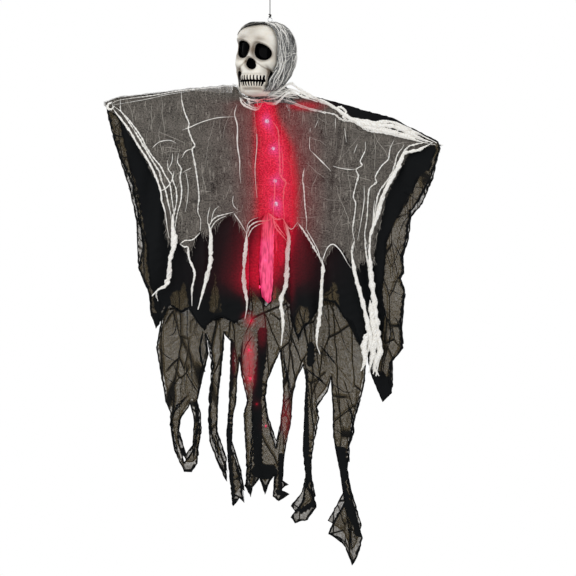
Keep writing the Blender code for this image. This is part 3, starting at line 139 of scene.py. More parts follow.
ROBE = [
    (-22.6, -199.2), (-26.8, -216.4), (-49.9, -260.9), (-91.4, -324), (-132.8, -403.6),
    (-162.7, -487.1), (-174.3, -553.4), (-182.7, -584.6), (-187.5, -615), (-182.7, -641.5),
    (-174.3, -689.1), (-172.6, -703.9), (-164.4, -721.1), (-164.4, -746), (-157.6, -784.2),
    (-141, -818.6), (-129.4, -820.1), (-119.6, -806.9), (-119.6, -780.3), (-114.5, -767.1),
    (-116.2, -732.8), (-121.3, -709.4), (-114.5, -677.4), (-102.9, -628.2), (-106.3, -593.1),
    (-97.9, -612.6), (-94.8, -649.3), (-101.2, -732.8), (-99.5, -768.6), (-86.3, -805.3),
    (-71.3, -837.3), (-73, -810.8), (-81.2, -784.2), (-88, -764), (-86.3, -700.8), (-78.1, -625.9),
    (-76.4, -590), (-64.9, -604.8), (-66.3, -669.6), (-68, -709.4), (-71.3, -759.3),
    (-69.7, -793.6), (-61.5, -877.1), (-49.9, -862.2), (-42.3, -870), (-49.1, -828.7),
    (-56.4, -802.2), (-63.2, -780.3), (-61.5, -732.8), (-56.4, -709.4), (-54.7, -669.6),
    (-49.9, -631.4), (-46.5, -661), (-36.7, -703.9), (-43.1, -727.3), (-39.8, -772.5),
    (-38.1, -820.1), (-40.9, -842), (-31.6, -860.7), (-28.2, -845.1), (-16.6, -828.7),
    (-8.2, -858.3), (0, -835.7), (8.2, -824), (5.1, -860.7), (14.9, -868.5), (31.6, -856.8),
    (20, -850.5), (23.1, -795.9), (35, -732.8), (38.1, -693), (43.1, -669.6), (54.7, -643.1),
    (59.8, -669.6), (54.7, -784.2), (59.8, -835.7), (53, -868.5), (35, -895), (41.5, -905.1),
    (61.5, -898.1), (76.4, -877.1), (69.7, -845.1), (68, -803.7), (73, -768.6), (81.2, -731.2),
    (76.4, -714), (94.8, -687.5), (101.2, -664.1), (104.6, -722.6), (104.6, -759.3),
    (114.5, -813.9), (123, -868.5), (96.2, -921.5), (123, -941.8), (136.2, -974.6), (144.4, -961.3),
    (152.8, -928.5), (136.2, -866.9), (127.7, -822.5), (131.1, -772.5), (139.3, -737.4),
    (147.8, -706.2), (155.9, -669.6), (159.3, -619.7), (152.8, -553.4), (136.2, -469.9),
    (108, -387.2), (69.7, -312.3), (46.5, -260.9), (26.8, -216.4), (22.6, -199.2),
]
ROBE_HOLES = [[
    (-131.1, -706.2), (-149.5, -737.4), (-151.2, -764), (-141, -803.7), (-127.7, -785.8),
    (-124.4, -732.8),
], [
    (16.6, -619.7), (-3.4, -666.5), (-8.2, -702.3), (-3.4, -735.9), (9.9, -778.8), (16.6, -752.3),
    (21.7, -702.3), (21.7, -666.5),
]]
LINER = [
    (-11.6, -212.5), (-14.1, -291.3), (-14.9, -423.9), (-18.3, -487.1), (-13.3, -531.5),
    (0, -544.8), (9.9, -533.1), (13.3, -453.5), (13.3, -349), (11.6, -212.5),
]
CENTRE = [
    (-24, -202.4), (-28.2, -232), (-30.2, -317.8), (-30.2, -422.3), (-16.6, -405.2), (0, -394.2),
    (14.9, -403.6), (30.2, -427), (30.2, -317.8), (28.2, -232), (24, -202.4),
]


# ---------------------------------------------------------------- small helpers


def smooth(t):
    t = np.clip(t, 0.0, 1.0)
    return t * t * (3 - 2 * t)


def at(px, py, y=0.0):
    """The place behind a pixel of the photograph, on the upright plane at y."""
    reach = (y - CAMERA_AT[1]) / -CAMERA_AT[1]
    half = PICTURE_SIDE / 2
    return (CAMERA_AT[0] + (px - half) * PIXEL * reach, y,
            CAMERA_AT[2] - (py - half) * PIXEL * reach)


def arm_line(x):
    """Height of the arm, or of the hub's lower edge between the pivots."""
    x = np.asarray(x, float)
    slope = np.where(x < 0, math.tan(DROOP["left"]), math.tan(DROOP["right"]))
    return HUB_BOTTOM - np.maximum(np.abs(x) - ARM_PIVOT_X, 0) * slope


def ripple(x, z, size, seed):
    """Soft irregular waves of about that size, from -1 to 1, the same on every run."""
    rng = np.random.default_rng(seed)
    total = np.zeros(np.shape(x))
    for _ in range(7):
        turn, phase = rng.uniform(0, TURN, 2)
        length = size * rng.uniform(0.7, 1.7)
        total = total + np.sin(TURN * (x * math.cos(turn) + z * math.sin(turn)) / length + phase)
    return total / 4.2


def sway(x, z):
    """How far the lowest tatters curl forward."""
    return 0.0055 * smooth((-0.520 - z) / 0.300) * (1 + np.sin(TURN * (z / 0.210 + x / 0.330)))


def depth(layer, x, z):
    """y of a cloth layer. Layers share their folds, so that they nest."""
    near, far, phase = LAYERS[layer]
    x, z = np.asarray(x, float), np.asarray(z, float)
    below = np.maximum(arm_line(x) - z, 0)
    leaves = smooth(below / CLOTH_FLARE)
    growth = 1 + FOLD_GROWTH * smooth(below / FOLD_GROWTH_DROP)
    fanned = TURN * x / (1 + below / FOLD_FAN_DROP)
    folds = FOLD_HEIGHT * np.sin(fanned / FOLD_LENGTH + phase)
    folds = folds + SMALL_FOLD_HEIGHT * np.sin(fanned / SMALL_FOLD_LENGTH + 2 * phase + 1)
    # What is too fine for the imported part: narrow pleats and the crumple of the net
    back = 40 if near > 0 else 0
    fine = 0.0007 * ripple(x, z * 0.20, 0.019, 4 + back) + 0.0004 * ripple(x, z, 0.013, 5 + back)
    calm = 0.4 if layer == "liner" else 1.0
    return near + (far - near) * leaves + calm * leaves * growth * (folds + fine) - sway(x, z)


def catmull(points, step):
    """A smooth curve through the points, resampled about every step."""
    points = np.asarray(points, float)
    if len(points) == 2:
        count = max(2, int(np.linalg.norm(points[1] - points[0]) / step) + 1)
        return points[0] + (points[1] - points[0]) * np.linspace(0, 1, count)[:, None]
    padded = np.vstack([2 * points[0] - points[1], points, 2 * points[-1] - points[-2]])
    out = []
    for i in range(1, len(padded) - 2):
        a, b, c, d = padded[i - 1 : i + 3]
        count = max(1, int(round(np.linalg.norm(c - b) / step)))
        for t in np.arange(count) / count:
            out.append(0.5 * (2 * b + (c - a) * t + (2 * a - 5 * b + 4 * c - d) * t**2
                              + (3 * b - a - 3 * c + d) * t**3))
    out.append(points[-1])
    return np.array(out)


def new_piece(name, points, faces, finish, smooth_shaded=True, weave=None, **fields):
    """A mesh piece. weave is a flat position for each point in metres, and fields are numbers that
    its material reads."""
    mesh = bpy.data.meshes.new(name)
    whole = [tuple(int(i) for i in face) for face in faces]
    mesh.from_pydata(np.asarray(points, float).tolist(), [], whole)
    mesh.materials.append(finish)
    for field, values in fields.items():
        numbers = mesh.attributes.new(field, "FLOAT", "POINT").data
        numbers.foreach_set("value", np.asarray(values, np.float32))
    if weave is not None:
        corner = np.empty(len(mesh.loops), np.int32)
        mesh.loops.foreach_get("vertex_index", corner)
        flat = np.asarray(weave, np.float32)[corner]
        mesh.uv_layers.new(name="Weave").data.foreach_set("uv", flat.ravel())
    mesh.update()
    if smooth_shaded:
        mesh.shade_smooth()
    piece = bpy.data.objects.new(name, mesh)
    bpy.context.scene.collection.objects.link(piece)
    return piece


def loft(rings, caps=True):
    """Points and faces through closed rings of equally many points."""
    count = len(rings[0])
    points = np.vstack(rings)
    faces = []
    for r in range(len(rings) - 1):
        for i in range(count):
            j = (i + 1) % count
            faces.append((r * count + i, r * count + j, (r + 1) * count + j, (r + 1) * count + i))
    if caps:
        faces.append(tuple(reversed(range(count))))
        faces.append(tuple(range((len(rings) - 1) * count, len(rings) * count)))
    return points, faces


def unit(vectors):
    return vectors / (np.linalg.norm(vectors, axis=1)[:, None] + 1e-12)


def tubes(lines, sides=5):
    """Points and faces of many round threads. Each line is (centre points, radius at each)."""
    points, faces, start = [], [], 0
    around = TURN * np.arange(sides) / sides
    cosine, sine = np.cos(around)[None, :, None], np.sin(around)[None, :, None]
    for line, radius in lines:
        line = np.asarray(line, float)
        along = unit(np.gradient(line, axis=0))
        guide = (0.0, 1.0, 0.0) if abs(along[:, 1]).max() < 0.9 else (0.3, 0.2, 0.93)
        across = unit(np.cross(along, guide))
        third = np.cross(along, across)
        radius = np.broadcast_to(radius, len(line))[:, None, None]
        ring = across[:, None] * cosine + third[:, None] * sine
        points.append((line[:, None] + radius * ring).reshape(-1, 3))
        for r in range(len(line) - 1):
            for i in range(sides):
                j = (i + 1) % sides
                a, b = start + r * sides, start + (r + 1) * sides
                faces.append((a + i, a + j, b + j, b + i))
        faces.append(tuple(start + i for i in reversed(range(sides))))
        faces.append(tuple(start + (len(line) - 1) * sides + i for i in range(sides)))
        start += len(line) * sides
    return np.vstack(points), faces


def twisted(route, radius, threads, step, lay, seed, fade, loose):
    """The threads of a pulled and twisted strand of gauze along a route, thin at its lower end.
    lay is the length of one twist, fade the share of its thickness left at the end, and loose how
    far its threads stray."""
    rng = np.random.default_rng(seed)
    line = catmull(route, step)
    count = len(line)
    run = np.linspace(0, 1, count)
    length = run * count * step
    body = radius * (0.75 + 0.45 * np.sin(math.pi * np.clip(run * 1.15, 0, 1)) ** 0.7)
    body = body * (1 - (1 - fade) * smooth((run - 0.75) / 0.25)) * (0.30
                                                                    + 0.70 * smooth(run / 0.12))
    body = body * (1 + 0.38 * ripple(length, 0, 0.012, seed + 1))
    along = unit(np.gradient(line, axis=0))
    out = unit(np.cross(along, (0, 1, 0)))
    third = np.cross(along, out)
    off_middle, thickness = (0.62, 0.62) if threads > 1 else (0.0, 1.0)
    made = []
    for k in range(threads):
        spin = TURN * (k / threads + np.arange(count) * step / lay) + rng.uniform(0, 0.8)
        reach = body * off_middle * (1 + 0.35 * ripple(length, k, 0.04, seed + 7 * k))
        stray = loose * np.abs(ripple(length, k * 3.1, 0.05, seed + 5 * k))
        reach = reach + stray * smooth(run * 5) * smooth((1 - run) * 5)
        centre = line + out * (reach * np.cos(spin))[:, None]
        centre = centre + third * (0.7 * reach * np.sin(spin))[:, None]
        thick = body * thickness * rng.uniform(0.75, 1.1)
        made.append((centre, np.maximum(thick, 0.00022)))
    return made


def feed(tree, node, inputs):
    """Sets a node's inputs. Each is a value, or another node's output to link."""
    for socket, value in inputs.items():
        if isinstance(value, bpy.types.NodeSocket):
            tree.links.new(value, node.inputs[socket])
        else:
            node.inputs[socket].default_value = value


def add(tree, kind, inputs=None, stops=(), **settings):
    """One node with its settings and inputs. Stops are the places and hex colours along a ramp."""
    made = tree.nodes.new(kind)
    for name, value in settings.items():
        setattr(made, name, value)
    feed(tree, made, inputs or {})
    for number, (place, colour) in enumerate(stops):
        elements = made.color_ramp.elements
        stop = elements[number] if number < len(elements) else elements.new(place)
        stop.position, stop.color = place, linear(colour)
    return made


def linear(hex_colour):
    """An sRGB colour written as #rrggbb, as linear numbers."""
    channels = [int(hex_colour[i : i + 2], 16) / 255 for i in (1, 3, 5)]
    return [c / 12.92 if c <= 0.04045 else ((c + 0.055) / 1.055) ** 2.4 for c in channels] + [1.0]


def new_finish(name):
    """An empty material with its Principled shader."""
    finish = bpy.data.materials.new(name)
    finish.use_nodes = True
    return finish, finish.node_tree, finish.node_tree.nodes["Principled BSDF"]


# ---------------------------------------------------------------- finishes


def weave(tree, pitch, wander):
    """Height of the nearest thread in a plain weave, 1 on its middle, with the threads pulled out
    of line, and the flat place in metres."""
    flat = add(tree, "ShaderNodeUVMap", uv_map="Weave").outputs["UV"]
    drift = add(tree, "ShaderNodeTexNoise",
                {"Vector": flat, "Scale": 1 / (6 * pitch), "Detail": 2.0}).outputs["Color"]
    moved = add(tree, "ShaderNodeVectorMath", {0: drift, 1: (wander, wander, 0), 2: flat},
                operation="MULTIPLY_ADD").outputs[0]
    threads = [add(tree, "ShaderNodeTexWave", {"Vector": moved, "Scale": TURN / (20 * pitch)},
                   bands_direction=way).outputs["Fac"] for way in ("X", "Y")]
    return add(tree, "ShaderNodeMath", {0: threads[0], 1: threads[1]},
               operation="MAXIMUM").outputs[0], flat


def streaks(tree, flat, stretch, size, low, high, turn=0.0):
    """Irregular lines along one way of the cloth: 1 on a line, 0 off it."""
    laid = add(tree, "ShaderNodeMapping",
               {"Vector": flat, "Rotation": (0, 0, turn), "Scale": stretch}).outputs[0]
    cloud = add(tree, "ShaderNodeTexNoise",
                {"Vector": laid, "Scale": 1 / size, "Detail": 2.0}).outputs[0]
    return add(tree, "ShaderNodeMapRange", {"Value": cloud, 1: low, 2: high},
               interpolation_type="SMOOTHSTEP").outputs[0]


def creases(tree, flat, size, width, turn, stretch, kept):
    """Sharp straight lines where thin cloth is crumpled: 1 on the crease. kept is how many show."""
    bent = add(tree, "ShaderNodeTexNoise",
               {"Vector": flat, "Scale": 1 / 0.030, "Detail": 1.0}).outputs["Color"]
    bent = add(tree, "ShaderNodeVectorMath", {0: bent, 1: (0.006, 0.006, 0), 2: flat},
               operation="MULTIPLY_ADD").outputs[0]
    laid = add(tree, "ShaderNodeMapping",
               {"Vector": bent, "Rotation": (0, 0, turn), "Scale": stretch}).outputs[0]
    away = add(tree, "ShaderNodeTexVoronoi", {"Vector": laid, "Scale": 1 / size},
               feature="DISTANCE_TO_EDGE").outputs[0]
    line = add(tree, "ShaderNodeMapRange",
               {"Value": away, 1: 0.35 * width / size, 2: width / size, 3: 1.0, 4: 0.0},
               interpolation_type="SMOOTHSTEP").outputs[0]
    cloud = add(tree, "ShaderNodeTexNoise",
                {"Vector": laid, "Scale": 0.6 / size, "Detail": 1.0}).outputs[0]
    shown = add(tree, "ShaderNodeMapRange",
                {"Value": cloud, 1: 0.62 - 0.25 * kept, 2: 0.70 - 0.25 * kept},
                interpolation_type="SMOOTHSTEP").outputs[0]
    return add(tree, "ShaderNodeMath", {0: line, 1: shown}, operation="MULTIPLY").outputs[0]


def light_on_cloth(tree, shader, base, strength, grain, low):
    """Red light of the string in the threads, from the cloth's own glow field. The threads catch
    more of it than the holes between them: grain runs from 0 to 1 and low is its share at 0. base
    is the cloth's colour, which the strong red light leaves little of."""
    glow = add(tree, "ShaderNodeAttribute", attribute_name="glow").outputs["Fac"]
    colour = add(tree, "ShaderNodeValToRGB", {"Fac": glow},
                 stops=[(0.0, "#000000"), (0.08, "#1c0609"), (0.28, "#7c1020"), (0.50, "#e01033"),
                        (0.72, "#ff2450"), (0.88, "#ff4f96"), (1.0, "#f6e4ff")]).outputs["Color"]
    amount = add(tree, "ShaderNodeMapRange",
                 {"Value": grain, 1: 0.30, 2: 0.70, 3: strength * low, 4: strength}).outputs[0]
    reddened = add(tree, "ShaderNodeMapRange",
                   {"Value": glow, 1: 0.02, 2: 0.50, 4: 0.88}).outputs[0]
    mixed = add(tree, "ShaderNodeMix", {0: reddened, 6: base, 7: linear("#3c0c12")},
                data_type="RGBA").outputs[2]
    feed(tree, shader, {"Emission Color": colour, "Emission Strength": amount, "Base Color": mixed})


def cape_gauze():
    """Loosely woven bleached cotton gauze, torn by hand: an open weave with thick and thin places,
    whose matt threads read grey over the black net."""
    finish, tree, shader = new_finish("cotton_gauze_woven")
    # Real gauze has about 12 threads to 10 mm. They are drawn 1.9 mm apart, so that they show.
    thread, flat = weave(tree, 0.0019, 0.0024)
    grain = add(tree, "ShaderNodeTexNoise",
                {"Vector": flat, "Scale": 1 / 0.0026, "Detail": 3.0, "Roughness": 0.60}).outputs[0]
    patch = add(tree, "ShaderNodeTexNoise",
                {"Vector": flat, "Scale": 1 / 0.022, "Detail": 2.0}).outputs[0]
    upright = streaks(tree, flat, (1, 0.12, 1), 0.0030, 0.60, 0.72, 0.10)
    slant = streaks(tree, flat, (1, 0.16, 1), 0.0040, 0.60, 0.72, -0.80)
    pulled = add(tree, "ShaderNodeMath", {0: upright, 1: slant}, operation="MAXIMUM").outputs[0]
    lift = 0.0
    for height, weight in ((thread, 0.55), (grain, 1.10), (patch, 0.40), (pulled, 0.10)):
        lift = add(tree, "ShaderNodeMath", {0: height, 1: weight, 2: lift},
                   operation="MULTIPLY_ADD").outputs[0]
    alpha = add(tree, "ShaderNodeMapRange", {"Value": lift, 1: 0.89, 2: 1.37},
                interpolation_type="SMOOTHSTEP").outputs[0]
    thin = add(tree, "ShaderNodeAttribute", attribute_name="thin").outputs["Fac"]
    alpha = add(tree, "ShaderNodeMath", {0: alpha, 1: thin}, operation="MULTIPLY").outputs[0]
    part = add(tree, "ShaderNodeMath", {0: pulled, 1: 0.40}, operation="MULTIPLY").outputs[0]
    colour = add(tree, "ShaderNodeMix", {0: part, 6: linear("#756f68"), 7: linear("#c4bdb2")},
                 data_type="RGBA").outputs[2]
    bump = add(tree, "ShaderNodeBump",
               {"Height": lift, "Strength": 0.5, "Distance": 0.0006}).outputs[0]
    feed(tree, shader,
         {"Alpha": alpha, "Normal": bump, "Roughness": 0.95, "Specular IOR Level": 0.15})
    light_on_cloth(tree, shader, colour, 1.0, grain, 0.50)
    return finish


def black_net():
    """Knitted black polyester net, cut and crumpled: see-through in one layer, nearly black where
    it is doubled, creased or at its cut edges."""
    finish, tree, shader = new_finish("black_polyester_net_knitted")
    # The real mesh has holes of about 1 mm. They are drawn 1.9 mm apart, so that they show.
    thread, flat = weave(tree, 0.0019, 0.0016)
    dense = add(tree, "ShaderNodeAttribute", attribute_name="dense").outputs["Fac"]
    crease = 0.0
    for kind in ((0.036, 0.0009, 0.50, (1, 0.32, 1), 0.8),
                 (0.028, 0.0008, -0.72, (1, 0.40, 1), 0.7),
                 (0.050, 0.0012, 0.03, (1, 0.14, 1), 0.9)):
        fold = creases(tree, flat, *kind)
        crease = add(tree, "ShaderNodeMath", {0: crease, 1: fold}, operation="MAXIMUM").outputs[0]
    crease = add(tree, "ShaderNodeMath", {0: crease, 1: 0.95}, operation="MULTIPLY").outputs[0]
    doubled = add(tree, "ShaderNodeMapRange", {"Value": dense, 1: 0.36, 2: 0.62}).outputs[0]
    closed = add(tree, "ShaderNodeMath", {0: doubled, 1: crease}, operation="MAXIMUM").outputs[0]
    grain = add(tree, "ShaderNodeTexNoise",
                {"Vector": flat, "Scale": 1 / 0.0032, "Detail": 3.0, "Roughness": 0.7}).outputs[0]
    lift = 0.0
    for height, weight in ((thread, 0.45), (grain, 0.95)):
        lift = add(tree, "ShaderNodeMath", {0: height, 1: weight, 2: lift},
                   operation="MULTIPLY_ADD").outputs[0]
    open_part = add(tree, "ShaderNodeMapRange",
                    {"Value": lift, 1: 0.62, 2: 0.98, 3: 0.24, 4: 0.84}).outputs[0]
    alpha = add(tree, "ShaderNodeMix", {0: closed, 2: open_part, 3: 1.0}).outputs[0]
    colour = add(tree, "ShaderNodeMix", {0: closed, 6: linear("#564c39"), 7: linear("#06080a")},
                 data_type="RGBA").outputs[2]
    bump = add(tree, "ShaderNodeBump",
               {"Height": lift, "Strength": 0.35, "Distance": 0.0005}).outputs[0]
    feed(tree, shader,
         {"Alpha": alpha, "Normal": bump, "Roughness": 0.72, "Specular IOR Level": 0.10})
    light_on_cloth(tree, shader, colour, 0.85, grain, 0.35)
    return finish


def hood_gauze():
    """Grey gauze laid twice over a dark lining: opaque and mottled, with pale pulled threads."""
    finish, tree, shader = new_finish("grey_gauze_doubled")
    thread, flat = weave(tree, 0.0021, 0.0030)
    mottle = add(tree, "ShaderNodeTexNoise",
                 {"Vector": flat, "Scale": 1 / 0.0050, "Detail": 4.0, "Roughness": 0.75}).outputs[0]
    pale = creases(tree, flat, 0.0075, 0.00035, 0.2, (1, 0.55, 1), 0.75)
    deep = streaks(tree, flat, (1, 0.30, 1), 0.0050, 0.50, 0.60, 0.3)
    lift = add(tree, "ShaderNodeMath", {0: mottle, 1: 1.5, 2: thread},
               operation="MULTIPLY_ADD").outputs[0]
    lift = add(tree, "ShaderNodeMapRange", {"Value": lift, 1: 1.05, 2: 1.75}).outputs[0]
    colour = add(tree, "ShaderNodeValToRGB", {"Fac": lift},
                 stops=[(0.05, "#0c0d0e"), (0.40, "#343536"), (0.72, "#6c6d6d"),
                        (1.0, "#b4b3b0")]).outputs["Color"]
    colour = add(tree, "ShaderNodeMix", {0: deep, 6: colour, 7: linear("#1a1a1a")},
                 data_type="RGBA").outputs[2]
    colour = add(tree, "ShaderNodeMix", {0: pale, 6: colour, 7: linear("#d5d2ca")},
                 data_type="RGBA").outputs[2]
    bump = add(tree, "ShaderNodeBump",
               {"Height": lift, "Strength": 0.7, "Distance": 0.0008}).outputs[0]
    feed(tree, shader,
         {"Base Color": colour, "Normal": bump, "Roughness": 0.95, "Sheen Weight": 0.10})
    return finish


def strand_cotton():
    """Bleached cotton threads pulled out of the gauze and rolled: matt, off-white, fuzzy."""
    finish, tree, shader = new_finish("white_cotton_spun")
    place = add(tree, "ShaderNodeTexCoord").outputs["Object"]
    # Fibres are 0.02 mm. The streaks stand for bunches of them, about 1.2 mm wide.
    fibre = add(tree, "ShaderNodeTexNoise",
                {"Vector": place, "Scale": 1 / 0.0024, "Detail": 3.0, "Roughness": 0.7}).outputs[0]
    soil = add(tree, "ShaderNodeTexNoise",
               {"Vector": place, "Scale": 1 / 0.030, "Detail": 2.0}).outputs[0]
    colour = add(tree, "ShaderNodeValToRGB", {"Fac": fibre},
                 stops=[(0.28, "#d8d2c8"), (0.46, "#f6f2ea"), (0.70, "#ffffff")]).outputs["Color"]
    soiled = add(tree, "ShaderNodeMapRange", {"Value": soil, 1: 0.58, 2: 0.78, 4: 0.35}).outputs[0]
    colour = add(tree, "ShaderNodeMix", {0: soiled, 6: colour, 7: linear("#b5aea3")},
                 data_type="RGBA").outputs[2]
    bump = add(tree, "ShaderNodeBump",
               {"Height": fibre, "Strength": 0.6, "Distance": 0.0005}).outputs[0]
    feed(tree, shader, {"Normal": bump, "Roughness": 0.95, "Sheen Weight": 0.25})
    light_on_cloth(tree, shader, colour, 0.75, fibre, 0.9)
    return finish


def stray_cotton():
    """Single cotton threads drawn out of the weave: the same fibre, greyed by what is behind."""
    finish, tree, shader = new_finish("grey_cotton_spun")
    place = add(tree, "ShaderNodeTexCoord").outputs["Object"]
    fibre = add(tree, "ShaderNodeTexNoise",
                {"Vector": place, "Scale": 1 / 0.0024, "Detail": 3.0, "Roughness": 0.7}).outputs[0]
    colour = add(tree, "ShaderNodeValToRGB", {"Fac": fibre},
                 stops=[(0.30, "#8b857d"), (0.55, "#b5afa6"), (0.75, "#d6d1c8")]).outputs["Color"]
    bump = add(tree, "ShaderNodeBump",
               {"Height": fibre, "Strength": 0.6, "Distance": 0.0004}).outputs[0]
    feed(tree, shader, {"Normal": bump, "Roughness": 0.95})
    light_on_cloth(tree, shader, colour, 0.75, fibre, 0.8)
    return finish


def liner_satin():
    """Woven pink polyester satin: a soft shine, lit red from the string that hangs behind it."""
    finish, tree, shader = new_finish("pink_polyester_satin_woven")
    flat = add(tree, "ShaderNodeUVMap", uv_map="Weave").outputs["UV"]
    # Satin floats are 0.3 mm long. They are drawn 3 mm long, as faint upright streaks.
    float_line = streaks(tree, flat, (1, 0.15, 1), 0.0030, 0.35, 0.65)
    # Painted sheen: the floats lighter than the ground between them
    colour = add(tree, "ShaderNodeValToRGB", {"Fac": float_line},
                 stops=[(0.0, "#b3305c"), (1.0, "#e2638d")]).outputs["Color"]
    bump = add(tree, "ShaderNodeBump",
               {"Height": float_line, "Strength": 0.3, "Distance": 0.0003}).outputs[0]
    glow = add(tree, "ShaderNodeAttribute", attribute_name="glow").outputs["Fac"]
    lit = add(tree, "ShaderNodeValToRGB", {"Fac": glow},
              stops=[(0.0, "#000000"), (0.30, "#b00514"), (0.50, "#f20a1c"), (0.64, "#f2206a"),
                     (0.85, "#ff4fa6"), (1.0, "#f6d2ff")]).outputs["Color"]
    amount = add(tree, "ShaderNodeMapRange", {"Value": float_line, 3: 0.30, 4: 0.58}).outputs[0]
    feed(tree, shader,
         {"Base Color": colour, "Normal": bump, "Roughness": 0.45, "Sheen Weight": 0.3,
          "Emission Color": lit, "Emission Strength": amount})
    return finish


def skull_plastic():
    """Ivory polypropylene, injection moulded and airbrushed by hand: satin, with brown-grey painted
    shade in its hollows, partly the airbrush's brown and partly shade where less light falls, and
    gloss black enamel in its sockets and between its teeth."""
    finish, tree, shader = new_finish("ivory_polypropylene_moulded")
    place = add(tree, "ShaderNodeTexCoord").outputs["Object"]
    blotch = add(tree, "ShaderNodeTexNoise",
                 {"Vector": place, "Scale": 1 / 0.016, "Detail": 4.0}).outputs[0]
    grain = add(tree, "ShaderNodeTexNoise",
                {"Vector": place, "Scale": 1 / 0.0015, "Detail": 2.0}).outputs[0]
    ivory = add(tree, "ShaderNodeValToRGB", {"Fac": blotch},
                stops=[(0.30, "#e2d9ca"), (0.50, "#ece6da"), (0.70, "#f3efe6")]).outputs["Color"]
    shade = add(tree, "ShaderNodeAttribute", attribute_name="shade").outputs["Fac"]
    # Painted shade: the shade field, broken up by the grain, browns the ivory
    painted_shade = add(tree, "ShaderNodeMath", {0: grain, 1: 0.5, 2: 0.80},
                operation="MULTIPLY_ADD").outputs[0]
    painted_shade = add(tree, "ShaderNodeMath", {0: shade, 1: painted_shade}, operation="MULTIPLY").outputs[0]
    colour = add(tree, "ShaderNodeMix", {0: painted_shade, 6: ivory, 7: linear("#7b6c5c")},
                 data_type="RGBA").outputs[2]
    paint = add(tree, "ShaderNodeAttribute", attribute_name="paint").outputs["Fac"]
    enamel = add(tree, "ShaderNodeMapRange", {"Value": paint, 1: 0.35, 2: 0.65},
                 interpolation_type="SMOOTHSTEP").outputs[0]
    colour = add(tree, "ShaderNodeMix", {0: enamel, 6: colour, 7: linear("#020203")},
                 data_type="RGBA").outputs[2]
    rough = add(tree, "ShaderNodeMath", {0: grain, 1: 0.20, 2: 0.34},
                operation="MULTIPLY_ADD").outputs[0]
    rough = add(tree, "ShaderNodeMix", {0: enamel, 2: rough, 3: 0.10}).outputs[0]
    specular = add(tree, "ShaderNodeMix", {0: enamel, 2: 0.5, 3: 0.012}).outputs[0]
    bump = add(tree, "ShaderNodeBump",
               {"Height": grain, "Strength": 0.10, "Distance": 0.0003}).outputs[0]
    matt = add(tree, "ShaderNodeMath", {0: 1.0, 1: enamel}, operation="SUBTRACT").outputs[0]
    soft = add(tree, "ShaderNodeMath", {0: matt, 1: 0.06}, operation="MULTIPLY").outputs[0]
    feed(tree, shader,
         {"Base Color": colour, "Roughness": rough, "Specular IOR Level": specular, "Normal": bump,
          "IOR": 1.49, "Subsurface Weight": soft, "Subsurface Radius": (0.004, 0.003, 0.002)})
    return finish


def speckled(name, colours, size, rough, bump_height, even):
    """A hard finish with the fine grain that its making leaves."""
    finish, tree, shader = new_finish(name)
    place = add(tree, "ShaderNodeTexCoord").outputs["Object"]
    grain = add(tree, "ShaderNodeTexNoise",
                {"Vector": place, "Scale": 1 / size, "Detail": 3.0, "Roughness": 0.6}).outputs[0]
    colour = add(tree, "ShaderNodeValToRGB", {"Fac": grain},
                 stops=[(0.35, colours[0]), (0.65, colours[1])]).outputs["Color"]
    spread = add(tree, "ShaderNodeMath", {0: grain, 1: 0.3, 2: rough - 0.15},
                 operation="MULTIPLY_ADD").outputs[0]
    bump = add(tree, "ShaderNodeBump",
               {"Height": grain, "Strength": 0.5, "Distance": bump_height}).outputs[0]
    feed(tree, shader, {"Base Color": colour, "Roughness": spread, "Normal": bump, **even})
    return finish


def laid_thread(name, colours, pitch):
    """Braided or wound thread: slanting ridges as far apart as its yarns."""
    finish, tree, shader = new_finish(name)
    place = add(tree, "ShaderNodeTexCoord").outputs["Object"]
    laid = add(tree, "ShaderNodeMapping", {"Vector": place, "Rotation": (0.4, 0.6, 0.2)}).outputs[0]
    yarn = add(tree, "ShaderNodeTexWave",
               {"Vector": laid, "Scale": TURN / (20 * pitch), "Distortion": 1.5},
               bands_direction="Z").outputs["Fac"]
    # Painted shade and highlight: darker in the grooves between the yarns, lighter on their crests
    colour = add(tree, "ShaderNodeValToRGB", {"Fac": yarn},
                 stops=[(0.1, colours[0]), (0.9, colours[1])]).outputs["Color"]
    bump = add(tree, "ShaderNodeBump",
               {"Height": yarn, "Strength": 0.6, "Distance": 0.0002}).outputs[0]
    feed(tree, shader, {"Base Color": colour, "Normal": bump, "Roughness": 0.8})
    return finish


def foam_beads():
    """Expanded polystyrene, moulded: white beads pressed together, with fine seams between them."""
    finish, tree, shader = new_finish("white_polystyrene_expanded")
    place = add(tree, "ShaderNodeTexCoord").outputs["Object"]
    bead = add(tree, "ShaderNodeTexVoronoi", {"Vector": place, "Scale": 1 / 0.0035},
               feature="DISTANCE_TO_EDGE").outputs[0]
    # Painted shade: darker in the seams between the beads
    colour = add(tree, "ShaderNodeValToRGB", {"Fac": bead},
                 stops=[(0.0, "#c9c9c6"), (0.12, "#f1f1ee")]).outputs["Color"]
    bump = add(tree, "ShaderNodeBump",
               {"Height": bead, "Strength": 0.6, "Distance": 0.0006}).outputs[0]
    feed(tree, shader, {"Base Color": colour, "Normal": bump, "Roughness": 0.75})
    return finish


def lit_resin():
    """Clear epoxy, cast as a drop over a lit red chip: it glows pink, whiter towards its middle."""
    finish, tree, shader = new_finish("clear_epoxy_cast")
    heat = add(tree, "ShaderNodeAttribute", attribute_name="heat").outputs["Fac"]
    colour = add(tree, "ShaderNodeValToRGB", {"Fac": heat},
                 stops=[(0.0, "#ff2f6e"), (0.6, "#ff9fe0"), (1.0, "#f4e4ff")]).outputs["Color"]
    feed(tree, shader,
         {"Emission Color": colour, "Emission Strength": 1.6, "Base Color": linear("#ff86b4"),
          "Roughness": 0.08, "IOR": 1.55})
    return finish


